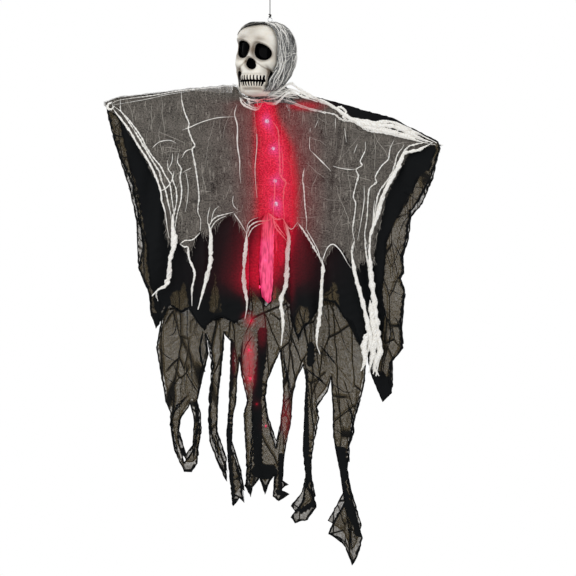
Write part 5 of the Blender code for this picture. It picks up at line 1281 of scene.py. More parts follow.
# Where the net hangs doubled or rolled and shows black: half width in mm, route in pixels. The
# ones narrower than ROLLED_BELOW are rolled up into cords.
ROLLED_BELOW = 2.7
DARK_ROUTES = [
    (1.2, [(169, 299), (161, 333), (157, 347)]),
    (0.9, [(187.5, 300), (187.4, 335), (191.2, 362), (192.2, 391)]),
    (2.2, [(190, 392), (182, 402), (173.5, 413), (172, 430), (177.8, 453), (186, 470)]),
    (2.0, [(195, 400), (197.5, 420), (196, 438), (193, 461)]),
    (2.0, [(203, 330), (200, 352), (205, 372)]),
    (2.4, [(207, 336), (212, 362), (211.5, 380), (209.4, 419), (214, 442), (224, 471)]),
    (2.8, [(231.5, 341), (233, 369), (229, 400), (228.3, 430), (229.5, 460), (233, 500)]),
    (1.3, [(243, 340), (241, 360), (243.5, 385)]),
    (2.4, [(252, 400), (253, 430), (251, 460), (249, 490)]),
    (7.0, [(262.5, 332), (262, 356), (258, 380), (257, 400), (257.5, 425), (258, 458)]),
    (11.0, [(259, 470), (270, 472)]), (1.6, [(281, 348), (285, 368), (291, 394)]),
    (3.6, [(281, 455), (281, 480), (283, 498)]),
    (3.4, [(305.5, 372), (306, 400), (306.5, 440), (308, 480)]),
    (1.4, [(306, 368), (318, 378), (329, 388)]), (6.0, [(311, 346), (310.5, 362)]),
    (2.2, [(347, 400), (353, 424), (349, 446), (349, 462)]), (9.0, [(340.5, 452), (341, 478)]),
    (5.0, [(342, 484), (346, 500), (352, 515), (359, 532)]),
    (1.4, [(345, 500), (349, 530), (353, 555)]), (8.0, [(206, 318), (224, 312), (232, 304)]),
    (6.0, [(294, 300), (295, 322)]), (7.0, [(338.6, 300), (350, 318), (360, 338), (366, 348)]),
    (1.2, [(320, 345), (334, 362), (352, 385)]), (1.4, [(305, 480), (312, 496), (316, 508)]),
    (3.0, [(301, 510), (310, 505), (316, 500)]), (1.2, [(330, 534), (345, 542), (352, 560)]),
    (3.0, [(249, 488), (250, 494)]), (2.8, [(264, 486), (265, 492)]),
    (3.4, [(278, 492), (287, 495)]), (2.6, [(234, 494), (241, 498)]),
    (0.6, [(156.8, 346.5), (166.3, 356.1), (176.9, 361.8)]),
    (0.6, [(162.5, 373.3), (174.0, 382.9), (191.2, 384.8)]),
    (0.7, [(177.8, 317.8), (174.0, 333.1), (161.6, 337.0)]),
    (0.9, [(192.2, 392.4), (177.8, 403.9), (171.5, 409.7)]),
    (0.6, [(168.3, 392.4), (175.9, 402.0), (190.8, 395.3)]),
    (0.8, [(202.7, 337.0), (206.1, 350.4), (199.8, 377.1), (197.3, 400.1)]),
    (0.6, [(223.7, 337.0), (219.9, 365.7), (218.0, 384.8), (217.0, 415.4)]),
    (0.8, [(234.8, 457.5), (241.0, 478.5), (244.4, 500.5)]),
    (0.9, [(252.4, 336.0), (245.7, 346.5), (241.9, 359.9)]),
    (0.8, [(252.4, 408.7), (245.2, 416.4), (246.7, 442.2), (247.1, 470.9)]),
    (0.8, [(293.0, 394.4), (284.2, 403.9), (290.3, 412.5)]),
    (0.8, [(280.4, 412.5), (283.1, 434.5), (284.2, 451.7)]),
    (0.9, [(283.1, 346.5), (285.3, 365.7), (292.2, 392.4)]),
    (0.7, [(331.3, 382.9), (346.2, 392.4), (357.7, 388.6)]),
    (0.7, [(346.2, 398.2), (351.5, 415.4), (355.4, 421.1)]),
    (0.9, [(359.2, 395.3), (353.8, 423.1), (348.1, 448.9)]),
    (0.6, [(335.1, 428.8), (342.4, 434.5), (351.0, 438.4)]),
    (0.6, [(314.0, 346.5), (323.2, 354.2), (336.6, 358.0)]),
    (0.6, [(283.1, 327.4), (297.6, 350.4), (302.2, 368.5)]),
    (0.6, [(342.7, 501.9), (351.9, 528.3), (359.2, 550.3)]),
    (0.7, [(327.8, 534.0), (342.4, 539.8), (353.5, 557.9)]),
    (0.5, [(321.3, 304.4), (329.0, 327.4), (327.1, 350.4), (332.8, 369.5)]),
    (0.5, [(340.4, 333.1), (348.1, 350.4), (359.6, 359.9)]),
    (0.5, [(288.8, 314.0), (302.2, 327.4), (313.7, 333.1)]),
]
SLEEVE_FOLDS = {
    "left": [
        (1.0, SLEEVE_BANDS["left"]), (0.5, [(112, 135), (117, 148), (124, 160)]),
        (0.6, [(122, 166), (130, 178)]), (0.5, [(128, 188), (138, 199)]),
        (0.7, [(134, 212), (141, 226)]), (0.6, [(136, 232), (147, 250)]),
        (0.9, [(149, 285), (160, 303), (158, 320)]),
    ],
    "right": [
        (1.0, SLEEVE_BANDS["right"]), (0.7, [(404, 192), (413, 197), (420, 203)]),
        (0.7, [(396, 218), (408, 214), (411, 218)]), (0.6, [(408, 186), (424, 188)]),
        (0.8, [(411, 213), (402, 226), (396, 248)]), (0.6, [(392, 240), (402, 262), (399, 282)]),
        (1.3, [(379, 282), (384.4, 312), (390.2, 327.4), (388.3, 346.5), (380.6, 352.3)]),
        (0.6, [(388, 289), (401, 295)]), (0.7, [(384.4, 304), (398, 323), (400, 346)]),
        (0.6, [(376, 293), (388, 316)]), (0.8, [(390, 362), (388, 377), (391, 388)]),
    ],
}


def near_route(x, z, route):
    """Distance from a line drawn in pixels of the photograph."""
    points = np.column_stack([np.ravel(x), np.ravel(z)])
    line = np.array([at(px, py, -0.015)[::2] for px, py in route])
    return line_distance(points, line[:-1], np.diff(line, axis=0)).reshape(np.shape(x))


# Where the net shows single between the black folds: middle in pixels, half sizes
SINGLE_NET = [
    ((180, 310), 13, 30), ((215, 296), 7, 26), ((303, 324), 9, 20), ((332, 306), 10, 31),
]


def single_net(x, z):
    """The share of a doubled net's blackness that is left."""
    left = 1.0
    x = x + 0.0062 * ripple(x, z * 0.6, 0.026, 61) + 0.0026 * ripple(x, z, 0.009, 63)
    z = z + 0.0110 * ripple(x, z, 0.030, 62) + 0.0040 * ripple(x, z, 0.010, 64)
    for (px, py), half_width, half_height in SINGLE_NET:
        mx, _, mz = at(px, py, -0.03)
        up = (z - mz) / (half_height * PIXEL)
        away = ((x - mx) / (half_width * PIXEL * np.clip(1 - 0.65 * up, 0.3, 1.4))) ** 2 + up**2
        left = left * (1 - 0.66 * np.exp(-(away**2)))
    return left


# How dense the sleeves' outer band is, where one layer of net shows
BAND_DENSE = {"left": 0.44, "right": 0.37}


def sleeve_dense(side):
    sign, band = SIGN[side], np.array([at(px, py, -0.02)[::2] for px, py in SLEEVE_BANDS[side]])
    order = np.argsort(band[:, 1])
    outer = np.array(metres(SLEEVE_LEFT if side == "left" else SLEEVE_RIGHT))
    tip_from, tip_over = (-0.662, 0.004) if side == "right" else (-0.556, 0.006)

    def field(x, z, rim):
        """Doubled inside its band, then one layer, and black again at its tip."""
        border = np.interp(z, band[order, 1], band[order, 0])
        border = border + 0.0012 * ripple(x * 0, z, 0.030, 31)
        away = edge_distance(np.column_stack([x, z]), outer)
        least = np.maximum(smooth((away - 0.0060) / 0.0020),
                           smooth(((border - x) * sign - 0.016) / 0.004))
        doubled = 0.97 * smooth((border - x) * sign / 0.0030 + 0.5) * least * single_net(x, z)
        tip = 0.97 * smooth((tip_from - z) / tip_over)
        return np.maximum.reduce([doubled, tip, np.full_like(tip, BAND_DENSE[side])])

    return field


def back_sleeve_dense(x, z, rim):
    """Behind, the net is doubled but for a band along its edge, wider low on the right sleeve."""
    band = 0.028 * smooth((-0.292 - z) / 0.040) * (x > 0)
    doubled = smooth((rim - 0.0110 - band) / 0.003) * single_net(x, z)
    along_arm = smooth((z - arm_line(x) + 0.014) / 0.004)
    return 0.95 * np.maximum.reduce([doubled, along_arm, smooth((0.150 - np.abs(x)) / 0.006)])


def robe_dense(x, z, rim):
    """Doubled net behind the cape, then one layer with its black folds."""
    field = 0.93 * smooth((z + 0.540 + 0.022 * ripple(x, z * 0.5, 0.045, 71)) / 0.022)
    field = np.maximum(field * single_net(x, z), 0.40 * smooth((-0.790 - z) / 0.020))
    for half, route in DARK_ROUTES:
        if half >= ROLLED_BELOW:
            near = (near_route(x, z, route) - half * 0.001) / 0.0016
            field = np.maximum(field, 0.97 * (1 - smooth(near)))
    return field


def robe_back_dense(x, z, rim):
    return 0.9 * smooth((z + 0.560) / 0.040) * single_net(x, z)


def rolled_net(name, layer, loops, routes, seed):
    """The net's cut edges, which curl into thin cords, and its narrow folds."""
    lines = []
    for number, loop in enumerate(loops):
        edge = torn_edge(loop, seed + number, 0.0004)
        edge = np.vstack([edge, edge[:1]])
        x, z = edge.T
        thick = 0.00062 * (1 + 0.5 * ripple(x, z, 0.030, seed + 9))
        lines.append((np.column_stack([x, depth(layer, x, z) - 0.0003, z]), thick))
    for number, (half, route) in enumerate(routes):
        placed = on_cloth(route, layer, 0.0007)
        lines += twisted(placed, 0.00085 * half, 2 if half > 0.9 else 1, step=0.004, lay=0.035,
                         seed=seed + 20 + number, fade=0.5, loose=0.0003 * half)
    points, faces = tubes(lines, 5)
    piece = new_piece(name, points, faces, BLACK_NET, weave=points[:, ::2],
                      dense=np.ones(len(points)), glow=0.45 * glow_at(points[:, 0], points[:, 2]))
    return piece


# Where the cape's weave has opened: half width in mm, how much is gone, route in pixels
THIN_ROUTES = [
    (3.2, 0.55, [(341.7, 118), (338.9, 137), (335.4, 158), (332, 178), (330.3, 195), (330.3, 219)]),
    (3.4, 0.80, [(320.5, 131), (321, 138)]), (3.2, 0.85, [(346.3, 137), (347, 144)]),
    (3.4, 0.7, [(320.5, 178), (323.5, 182)]), (3.2, 0.85, [(213, 186), (215.5, 188)]),
    (2.6, 0.7, [(212, 191), (215, 193.5)]), (3.0, 0.75, [(192.5, 203), (196, 201)]),
    (2.0, 0.4, [(220, 150), (217, 178), (220, 206)]),
    (1.6, 0.35, [(300, 130), (298, 160), (300, 195)]), (2.6, 0.6, [(176, 226), (176, 236)]),
]


def cape_thin(x, z, rim):
    """How much of the gauze is left: frayed at its edges, and open where its weave has slipped."""
    left = 0.35 + 0.65 * smooth(rim / 0.004 + 0.5 * ripple(x, z, 0.012, 81))
    for half, gone, route in THIN_ROUTES:
        away = (near_route(x, z, route) - half * 0.0005) / (half * 0.001)
        left = left * (1 - gone * (1 - smooth(away)))
    return left


def middle_thin(x, z, rim):
    """The cape's middle part fades out where it lies over the side parts."""
    over = np.maximum(smooth((0.0500 - np.abs(x)) / 0.016), smooth((z + 0.214) / 0.010))
    return cape_thin(x, z, rim) * over.clip(0.15, 1)


def metres(outline):
    return [(x * 0.001, z * 0.001) for x, z in outline]


# The robe's back hangs a little shorter than its front: from this height down, by this share
BACK_SHORTER_FROM, BACK_SHARE = -0.583, 0.955


def shortened(outline):
    return [(x, max(z, BACK_SHORTER_FROM)
             + (min(z, BACK_SHORTER_FROM) - BACK_SHORTER_FROM) * BACK_SHARE) for x, z in outline]


def stretch_inward(outline, side):
    """A wing's outline in metres, its inner edge taken under the cape's middle."""
    return [(SIGN[side] * 0.0335 if abs(x) < 33 else x * 0.001, z * 0.001) for x, z in outline]


def robe_glow(x, z):
    """The net catches less of the light than the gauze, but for the red patch beside the slit."""
    glow = 0.70 * glow_at(x, z)
    mx, _, mz = at(280.5, 250, -0.015)
    away = ((x - mx) / 0.0100) ** 2 + ((z - mz) / 0.0370) ** 2
    return np.maximum(glow, 0.56 * np.exp(-(away**2)))


def liner_glow(x, z):
    """The strip is lit all down its length, most at each light."""
    dim = np.maximum(smooth((x - 0.0065) / 0.002), smooth((z + 0.445) / 0.03))
    lights = np.exp(-((wire_distance(x, z)[1] / 0.0017) ** 2))
    return np.clip(0.62 - 0.22 * dim + 0.34 * lights, 0, 1)


# The slits in the robe's front, which the pink strip shows through, in metres
ROBE_SLITS = [[
    (-0.0130, -0.402), (-0.0020, -0.392), (0.0072, -0.400), (0.0070, -0.430), (0.0060, -0.475),
    (0.0048, -0.512), (0.0015, -0.538), (-0.0065, -0.546), (-0.0130, -0.536), (-0.0180, -0.512),
    (-0.0185, -0.478), (-0.0155, -0.440),
], [
    (0.0098, -0.382), (0.0128, -0.380), (0.0128, -0.440), (0.0125, -0.478), (0.0105, -0.486),
    (0.0095, -0.440),
]]


def garments():
    """The cloth from the inside out. The split at each shoulder lies under the cape's middle."""
    liner = torn_sheet("pink_liner", metres(LINER), "liner", LINER_SATIN, 2, 0.0003,
                       glow=liner_glow)
    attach(liner, "torso")
    hang_sheet("inner_liner")

    outline, holes = metres(ROBE), [metres(hole) for hole in ROBE_HOLES]
    robe = torn_sheet("robe_net_front", outline, "robe_front", BLACK_NET, 11, 0.0004, 0.0042,
                      holes=holes + ROBE_SLITS, dense=robe_dense, glow=robe_glow)
    narrow = [(half, route) for half, route in DARK_ROUTES if half < ROLLED_BELOW]
    folds = rolled_net("robe_net_folds", "robe_front", [outline, *holes], narrow, 11)
    robe_back = torn_sheet("robe_net_back", shortened(outline), "robe_back", BLACK_NET, 12, 0.0004,
                           holes=[shortened(hole) for hole in holes], dense=robe_back_dense,
                           glow=0.35)
    for piece in (robe, folds, robe_back):
        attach(piece, "torso")
    hang_sheet("robe_front")
    hang_sheet("robe_back")

    for side, seed, sleeve, sleeve_back, cape in (
        ("left", 20, SLEEVE_LEFT, SLEEVE_BACK_LEFT, CAPE_LEFT),
        ("right", 30, SLEEVE_RIGHT, SLEEVE_BACK_RIGHT, CAPE_RIGHT),
    ):
        sleeve, cape = stretch_inward(sleeve, side), stretch_inward(cape, side)
        front = torn_sheet(f"sleeve_net_{side}", sleeve, "sleeve_front", BLACK_NET, seed, 0.0004,
                           0.0045, dense=sleeve_dense(side))
        back = torn_sheet(f"sleeve_net_{side}_back", metres(sleeve_back), "sleeve_back", BLACK_NET,
                          seed + 2, 0.0004, dense=back_sleeve_dense)
        folds = rolled_net(f"sleeve_net_{side}_folds", "sleeve_front", [sleeve], SLEEVE_FOLDS[side],
                           seed)
        wing = torn_sheet(f"cape_gauze_{side}", cape, "cape_front", CAPE_GAUZE, seed + 4, 0.0010,
                          thin=cape_thin)
        wing_back = torn_sheet(f"cape_gauze_{side}_back", cape, "cape_back", CAPE_GAUZE, seed + 6,
                               0.0010, thin=cape_thin, glow=0.25)
        for piece in (front, folds, back, wing, wing_back):
            swing(piece)
        hang_sheet(f"sleeve_{side}_front")
        hang_sheet(f"sleeve_{side}_back")
        hang_sheet(f"cape_{side}")
        hang_sheet(f"cape_back_{side}")

    outline = [(x * 1.62, z) for x, z in metres(CENTRE)]
    # On the figure's right it stands up beside the jaw, where it leaves the hood
    outline[1:1] = [(-0.0452, -0.1950), (-0.0500, -0.1815), (-0.0610, -0.1805), (-0.0640, -0.2160)]
    for name, layer, node, seed, glow in (
        ("cape_gauze_middle", "cape_middle", "cape_centre", 41, 1.0),
        ("cape_gauze_middle_back", "cape_back_middle", "cape_back_centre", 43, 0.4),
    ):
        piece = torn_sheet(name, outline, layer, CAPE_GAUZE, seed, 0.0012, thin=middle_thin,
                           glow=glow)
        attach(piece, "torso")
        hang_sheet(node)


# ---------------------------------------------------------------- loose strands


def on_cloth(places, layer, out):
    """Pixels of the photograph laid on the front of a cloth layer."""
    line = []
    for px, py in places:
        y = LAYERS[layer][1]
        x, _, z = at(px, py, y)
        y = float(depth(layer, x, z)) - out
        x, _, z = at(px, py, y)
        line.append((x, y, z))
    return line


# Pulled and rolled strands over the cape and from its hem, in pixels of the photograph:
# half thickness in mm, number of threads in it, how far its threads stray in mm, route
LEFT_STRANDS = [
    (1.3, 3, 0.5, [(112, 104), (114, 110), (120.3, 118), (129.5, 130.5), (137.6, 144.3),
        (147.9, 160.4), (154.8, 174.1), (160.5, 190.2), (161.7, 200.5), (165.1, 212), (167, 226),
        (169, 238)]),
    (1.1, 2, 0.5, [(113, 106), (121.5, 112), (129, 122.5), (138.7, 137.4), (146.7, 151.2),
        (153.6, 162.7), (159.4, 171.8), (161.7, 181), (165.1, 189), (168, 202), (171, 216),
        (172, 232)]),
    (0.9, 2, 0.4, [(120.3, 99), (120.9, 111), (127.2, 117.9), (135.3, 128.2), (142.1, 138.5),
        (147.3, 148.9), (153.6, 158), (160.5, 166.1), (165.1, 175.3), (169.7, 183.3), (171.5, 196),
        (173.5, 212), (174, 228)]),
    (0.8, 1, 0.0, [(160.5, 191.4), (166.3, 187.9), (170.3, 183.3), (173.1, 176.4), (174, 171)]),
    (0.9, 2, 0.3, [(167.4, 160.4), (168.5, 169.5), (172.6, 175.3), (172.6, 179.9), (176, 189),
        (176.6, 200.5), (174.3, 213.2), (172.6, 223.5), (172.6, 235)]),
    (0.8, 2, 0.3, [(178.3, 153.5), (177.7, 162.7), (181.2, 168.4), (180, 177.6), (181.7, 189),
        (180.6, 201.7), (177.7, 212), (175.5, 224), (174, 238)]),
    (0.5, 1, 0.0, [(185.8, 171.8), (188.1, 185.6), (187.5, 199.4), (185.2, 212)]),
    (0.45, 1, 0.0, [(172.6, 153.5), (172, 161.5), (168.5, 169)]),
    (1.0, 2, 0.3, [(181.2, 89.5), (181.7, 99.5), (184.6, 112.1), (189.2, 123.6), (188.1, 128.2),
        (191.5, 138.5), (195, 146), (192.1, 148.9), (193.8, 158.1), (195.5, 167.2), (197.8, 183.3),
        (199, 197.1), (197.8, 210.9), (200.7, 220), (200.1, 231)]),
    (0.6, 1, 0.0, [(182.3, 129.9), (190.4, 127.1), (200.7, 122.5), (216.8, 117.9), (234, 116.7)]),
    (0.6, 1, 0.0, [(152.5, 147.7), (159.4, 142), (169.7, 140.3), (176, 143.1)]),
    (0.5, 1, 0.0, [(192, 149), (185.8, 151.2), (181.7, 158)]),
    (0.4, 1, 0.0, [(183.5, 171.8), (191.5, 167.8)]),
    (0.9, 1, 0.0, [(236.9, 104.4), (234.6, 114.4), (237.4, 125.9), (237.4, 144.3), (239.7, 160.4),
        (239.7, 171.8), (240.9, 184)]),
    (0.5, 1, 0.0, [(233.4, 196), (232.6, 201), (234, 206.3), (238, 210)]),
    (2.5, 5, 1.2, [(172.6, 214), (172.8, 228), (173, 240.7), (173.7, 247), (171.5, 254),
        (169.8, 262), (169, 275), (166, 285), (158, 290), (152, 296)]),
    (2.9, 5, 1.0, [(173, 228), (174.4, 238), (174, 247), (170.5, 255)]),
    (0.9, 2, 0.5, [(180, 244.2), (184.6, 240.7), (192.7, 239.6), (200.1, 232.7)]),
    (1.4, 3, 0.8, [(180, 244), (184.5, 247), (188, 247), (189, 258), (194.6, 273), (192, 289),
        (192, 306)]),
    (2.2, 5, 1.0, [(207.6, 222.4), (209.9, 229.2), (211, 240.7), (210.4, 252.2), (210.5, 262),
        (205, 284), (198, 309.5)]),
    (0.8, 2, 0.4, [(208.5, 227), (213, 219.5), (218, 216.2), (224.8, 214.3), (234, 212)]),
    (0.7, 2, 0.4, [(209.5, 233), (213.5, 224), (219, 219), (226, 216)]),
    (0.5, 1, 0.0, [(207.6, 224), (208, 215), (210, 207)]),
    (0.45, 1, 0.0, [(211, 222), (214, 211), (219, 206)]),
    (0.7, 1, 0.0, [(234, 213.5), (240.9, 223.5), (246.2, 233)]),
    (1.0, 2, 0.6, [(166, 285), (160, 288), (156, 293), (158, 301)]),
    (1.6, 3, 0.8, [(112, 102), (108.5, 104), (107.5, 108), (111, 109.5), (114.5, 106)]),
]
RIGHT_STRANDS = [
    (0.9, 2, 0.3, [(304.4, 168), (302.7, 178.7), (303.9, 189.1), (305, 206.3), (306.7, 220.1),
        (306, 231)]),
    (0.8, 1, 0.0, [(312.5, 152.3), (321.7, 161.5), (330.8, 170.7)]),
    (0.45, 1, 0.0, [(310.2, 128), (309.6, 147.7), (312.5, 152.3)]),
    (0.4, 1, 0.0, [(318.2, 120.2), (314.8, 128)]),
    (0.7, 1, 0.0, [(333.1, 166.1), (341.2, 168.4), (350.4, 169.5), (356, 169.5)]),
    (0.9, 2, 0.3, [(365.3, 142), (365.3, 150), (360.1, 161.5), (362.4, 165), (356.1, 169.5),
        (358.4, 175.3), (356.7, 182.2), (353.2, 197.1), (355.5, 201.7), (355, 212), (352.7, 229.2),
        (354.4, 241.9), (352.7, 252.2)]),
    (0.9, 2, 0.3, [(394, 140), (390, 148.9), (388.2, 159.2), (381.4, 166.1), (375, 177.6),
        (376.8, 182.2), (369.9, 187.9), (368.2, 197.1), (367, 217.8), (364.7, 235), (367.6, 246.5),
        (369, 260)]),
    (0.9, 2, 0.3, [(404, 144.5), (402, 148.5), (397.4, 154.6), (394, 167.2), (389.4, 177.6),
        (380.2, 190.2), (376.8, 200.5), (373.3, 223.5), (370, 240)]),
    (2.2, 4, 0.6, [(432, 143), (418.1, 150), (406.6, 152.3), (403.2, 154.6), (399.7, 163.8),
        (394, 175.3), (388.2, 184.5), (383.6, 194.8), (380.2, 206.3), (376.8, 217.8), (371, 232.7),
        (369.9, 246.5), (371, 262)]),
    (1.2, 2, 0.4, [(430, 141.5), (413.5, 144.8), (407, 148), (401, 157), (396, 168), (390, 180),
        (384, 192), (378, 206), (375, 220), (370, 236)]),
    (0.6, 1, 0.0, [(364.1, 185.6), (364.1, 201.7), (360.7, 223.5), (357.5, 240)]),
    (0.6, 1, 0.0, [(374.5, 200.5), (372.2, 226.9), (368, 244)]),
    (0.45, 1, 0.0, [(357.2, 144.3), (353.8, 153.5)]), (0.45, 1, 0.0, [(344.6, 128), (346.3, 142)]),
    (0.4, 1, 0.0, [(335.4, 117.9), (335.4, 128.2)]),
    (1.1, 2, 0.3, [(297.6, 222.4), (305.6, 233.8), (312.5, 245.3), (319.4, 257.9), (322, 264)]),
    (0.7, 1, 0.0, [(306.7, 230), (313, 241), (318.5, 252), (320.5, 262)]),
    (0.8, 1, 0.0, [(322, 262), (325.5, 252), (328.5, 246.5), (333.1, 244.2), (338.9, 248.8),
        (343.5, 255.6), (347, 262), (351, 268)]),
    (2.0, 4, 1.2, [(320.5, 257), (323, 266), (322, 280), (320, 312), (316.6, 341), (320, 354)]),
    (2.3, 5, 1.2, [(351, 250), (353.5, 265), (356, 278), (361, 296), (365, 312), (368.5, 328),
        (369, 344), (366, 358), (361.5, 370)]),
    (2.8, 5, 1.4, [(369, 244), (370, 262), (371.5, 280), (374, 300), (376, 318), (378, 336),
        (381, 350), (378, 364), (376, 376)]),
    (3.4, 6, 1.8, [(370, 300), (372, 318), (374, 336), (373.5, 350), (371, 362), (369, 373)]),
    (3.2, 6, 1.8, [(366, 318), (370, 336), (372, 350), (376, 362), (373, 374)]),
    (2.8, 5, 1.6, [(368, 332), (364, 346), (365, 360), (361, 371)]),
    (2.6, 5, 1.6, [(374, 340), (379, 352), (374, 366), (379, 376)]),
    (1.2, 2, 0.4, [(364.7, 235), (366, 252), (369, 270), (371, 288), (374, 304)]),
    (1.0, 2, 0.5, [(354.4, 240), (352, 250), (353, 262), (357, 276)]),
]
CHEST_STRANDS = [
    (1.0, 2, 0.4, [(272.3, 121.3), (278, 130.5), (279.2, 148.9), (280, 165), (280.3, 175.3),
        (286.1, 182.2), (284.4, 186.8), (283.2, 200.5), (284.4, 217.8)]),
    (0.9, 2, 0.3, [(274.6, 178), (274.6, 194.8), (272.9, 216)]),
    (0.5, 1, 0.0, [(282, 150), (283, 167), (282, 178.7), (290, 184.5)]),
    (2.0, 4, 1.0, [(246.6, 231), (246.4, 240), (245.5, 250), (244, 266), (244, 283), (247, 303),
        (245, 319)]),
    (0.9, 2, 0.5, [(247, 234), (250, 226), (258, 221.5), (266, 221), (271, 219), (274, 215.5)]),
    (0.8, 2, 0.4, [(247.5, 238), (252, 229), (259, 224.5), (266, 223)]),
    (0.6, 1, 0.0, [(246.5, 232), (248, 224), (252, 220), (258, 217.5)]),
    (2.3, 5, 1.2, [(283.6, 219), (287.2, 229.2), (288.9, 240.7), (287.5, 252.2), (286, 284),
        (281, 300), (283, 323), (281, 346)]),
    (1.0, 2, 0.4, [(272.9, 215), (275.5, 227), (281, 234), (287, 241)]),
    (0.8, 2, 0.4, [(273, 219), (279, 228), (285, 236)]),
    (0.7, 1, 0.0, [(282, 217.5), (290.7, 229.2), (297.6, 222.4)]),
    (0.5, 1, 0.0, [(284, 218), (284, 226), (287, 236)]),
    (1.2, 2, 0.4, [(268, 213), (272.5, 217), (277, 219.5), (283, 218.5)]),
    (0.5, 1, 0.0, [(254, 112), (257, 140), (255, 170), (257, 198)]),
]
LEFT_ARM_ROLLS = [
    (0.55, 2, 0.3, [(237.4, 84.5), (207.6, 88), (178.9, 91), (155.9, 95), (120.3, 100),
        (111, 104)]),
    (0.4, 1, 0.0, [(190, 91), (165, 95), (150, 98.5), (128, 102.5), (113, 105)]),
]
RIGHT_ARM_ROLLS = [
    (1.2, 2, 0.4, [(281.5, 99.5), (296.4, 105.3), (313.6, 110.4), (334.3, 114.4), (341.2, 119.6),
        (355, 122.5), (367.6, 130.5), (384.8, 133.4), (402, 137.4), (428.4, 143.7), (435, 144.5)]),
    (2.2, 4, 0.8, [(300, 93), (310.2, 97), (327.4, 103.6), (338.9, 110.4), (350.4, 118),
        (373.3, 122.6), (390.5, 121.8), (407.8, 128.6), (430.7, 139.8), (437, 143)]),
    (1.6, 3, 0.8, [(352, 120.5), (368, 126), (385, 129), (402, 133.5), (424, 141)]),
    (1.4, 3, 0.6, [(338, 111), (348, 118.5), (362, 125.5), (380, 131.5), (398, 136), (420, 142)]),
    (1.3, 3, 0.6, [(376, 124.5), (394, 127.5), (410, 134.5), (428, 142.5)]),
    (2.5, 5, 1.2, [(341, 112), (350, 118.5), (362, 123.5), (378, 125.5), (392, 126), (405, 130.5),
        (420, 138), (433, 143)]),
    (2.1, 5, 1.2, [(352, 121.5), (368, 128), (385, 131.5), (402, 135.5), (424, 142.5)]),
    (1.5, 4, 0.9, [(336, 108), (341, 107), (346, 112), (343, 117), (349, 121)]),
]
NECK_STRANDS = [
    (1.3, 3, 0.4, [(239.8, 97.2), (242.1, 103.3), (247.4, 107.1), (256.6, 109.8), (261.2, 104.8),
        (262, 99.5)]),
    (0.9, 2, 0.3, [(243, 97), (247.4, 98.7), (253.6, 100.2), (261.2, 99.5), (266, 98.5)]),
    (1.5, 3, 0.5, [(266.6, 98.4), (272.7, 94.6), (280.3, 89.3), (290.3, 83.4), (296.4, 87),
        (303.3, 91.2), (312, 95.5), (322, 101)]),
    (1.6, 3, 0.5, [(262, 100.5), (265, 102.3), (273.5, 104), (279.6, 100.6), (282.6, 97.2),
        (286.5, 94.1), (291.8, 92.6), (299.5, 95.5), (308, 98.5), (318, 102)]),
    (1.0, 2, 0.5, [(264, 99.5), (272, 98.9), (279, 96.5), (286, 91.5), (292, 89)]),
    (1.6, 3, 0.6, [(288, 88), (296, 91), (305, 94.5), (316, 99.5)]),
    (0.8, 1, 0.0, [(283, 99), (296, 103.5), (309, 108), (322, 111)]),
    (0.7, 2, 0.3, [(241, 98), (245, 103), (251, 106.5), (257, 107.5), (263, 103)]),
    (0.6, 1, 0.0, [(247, 99), (250, 103), (256, 101.5), (262, 101)]),
    (0.7, 2, 0.3, [(250.5, 99), (249, 104.5), (253, 108)]),
    (0.6, 1, 0.0, [(258, 100), (257.5, 105), (261, 107)]),
]


def strand_piece(name, strands, body, layer="cape_front", out=0.0018, seed=0):
    """Rolled strands laid on a layer of the cape."""
    lines = []
    for k, (half, threads, stray, route) in enumerate(strands):
        placed = on_cloth(route, layer, out + half * 0.0006)
        lines += twisted(placed, half * 0.001, threads, step=0.0035, lay=0.010 + 0.004 * half,
                         seed=seed + 13 * k, fade=0.35, loose=stray * 0.001)
    points, faces = tubes(lines, 6)
    glow = 0.85 * glow_at(points[:, 0], points[:, 2], 0.8)
    piece = new_piece(name, points, faces, STRAND, glow=glow)
    go_with(piece, body)


def stray_threads(outline, layer, count, seed, slant):
    """Fine single threads pulled up all over the gauze, mostly upright and fanning outward."""
    rng = np.random.default_rng(seed)
    loop = np.array(outline)
    low, high = loop.min(0), loop.max(0)
    level = math.pi / 2 - 0.15 * np.sign(slant + 1e-9)
    lines = []
    while len(lines) < count:
        start = rng.uniform(low, high)
        upright = rng.uniform() < 0.60
        turn = rng.normal(0, 0.30) + slant if upright else rng.normal(level, 0.35)
        length = rng.uniform(0.022, 0.095) if upright else rng.uniform(0.012, 0.045)
        steps = max(6, int(length / 0.005))
        run = np.linspace(0, length, steps)
        number = len(lines)
        bend = 0.0022 * ripple(run, number, 0.05, seed + number)
        bend = bend + 0.0010 * ripple(run, number, 0.016, seed + 3 * number)
        x = start[0] + np.sin(turn) * run + np.cos(turn) * bend
        z = start[1] - np.cos(turn) * run + np.sin(turn) * bend
        if not inside(np.column_stack([x, z]), loop).all():
            continue
        y = depth(layer, x, z) + (-0.0009 if LAYERS[layer][0] < 0 else 0.0009)
        taper = np.sin(np.linspace(0.2, math.pi - 0.2, steps)) ** 0.4
        lines.append((np.column_stack([x, y, z]), rng.uniform(0.00020, 0.00042) * taper))
    return lines


def hem_fringe(outline, layer, below, count, seed):
    """Short frayed threads along the torn lower edge, hanging by their own weight."""
    rng = np.random.default_rng(seed)
    edge = torn_edge(outline, seed, 0.0, 0.0030)
    edge = edge[edge[:, 1] < below]
    lines = []
    for k in rng.choice(len(edge), min(count, len(edge)), replace=False):
        x0, z0 = edge[k]
        length = rng.uniform(0.004, 0.016)
        run = np.linspace(0, 1, 6)
        x = x0 + rng.normal(0, 0.0022) * run**1.5 + 0.0008 * np.sin(run * 5 + k)
        z = z0 + 0.002 - length * run
        y = depth(layer, x, z) + rng.normal(0, 0.0008) * run
        lines.append((np.column_stack([x, y, z]), rng.uniform(0.0002, 0.0004) * (1.1 - run)))
    return lines
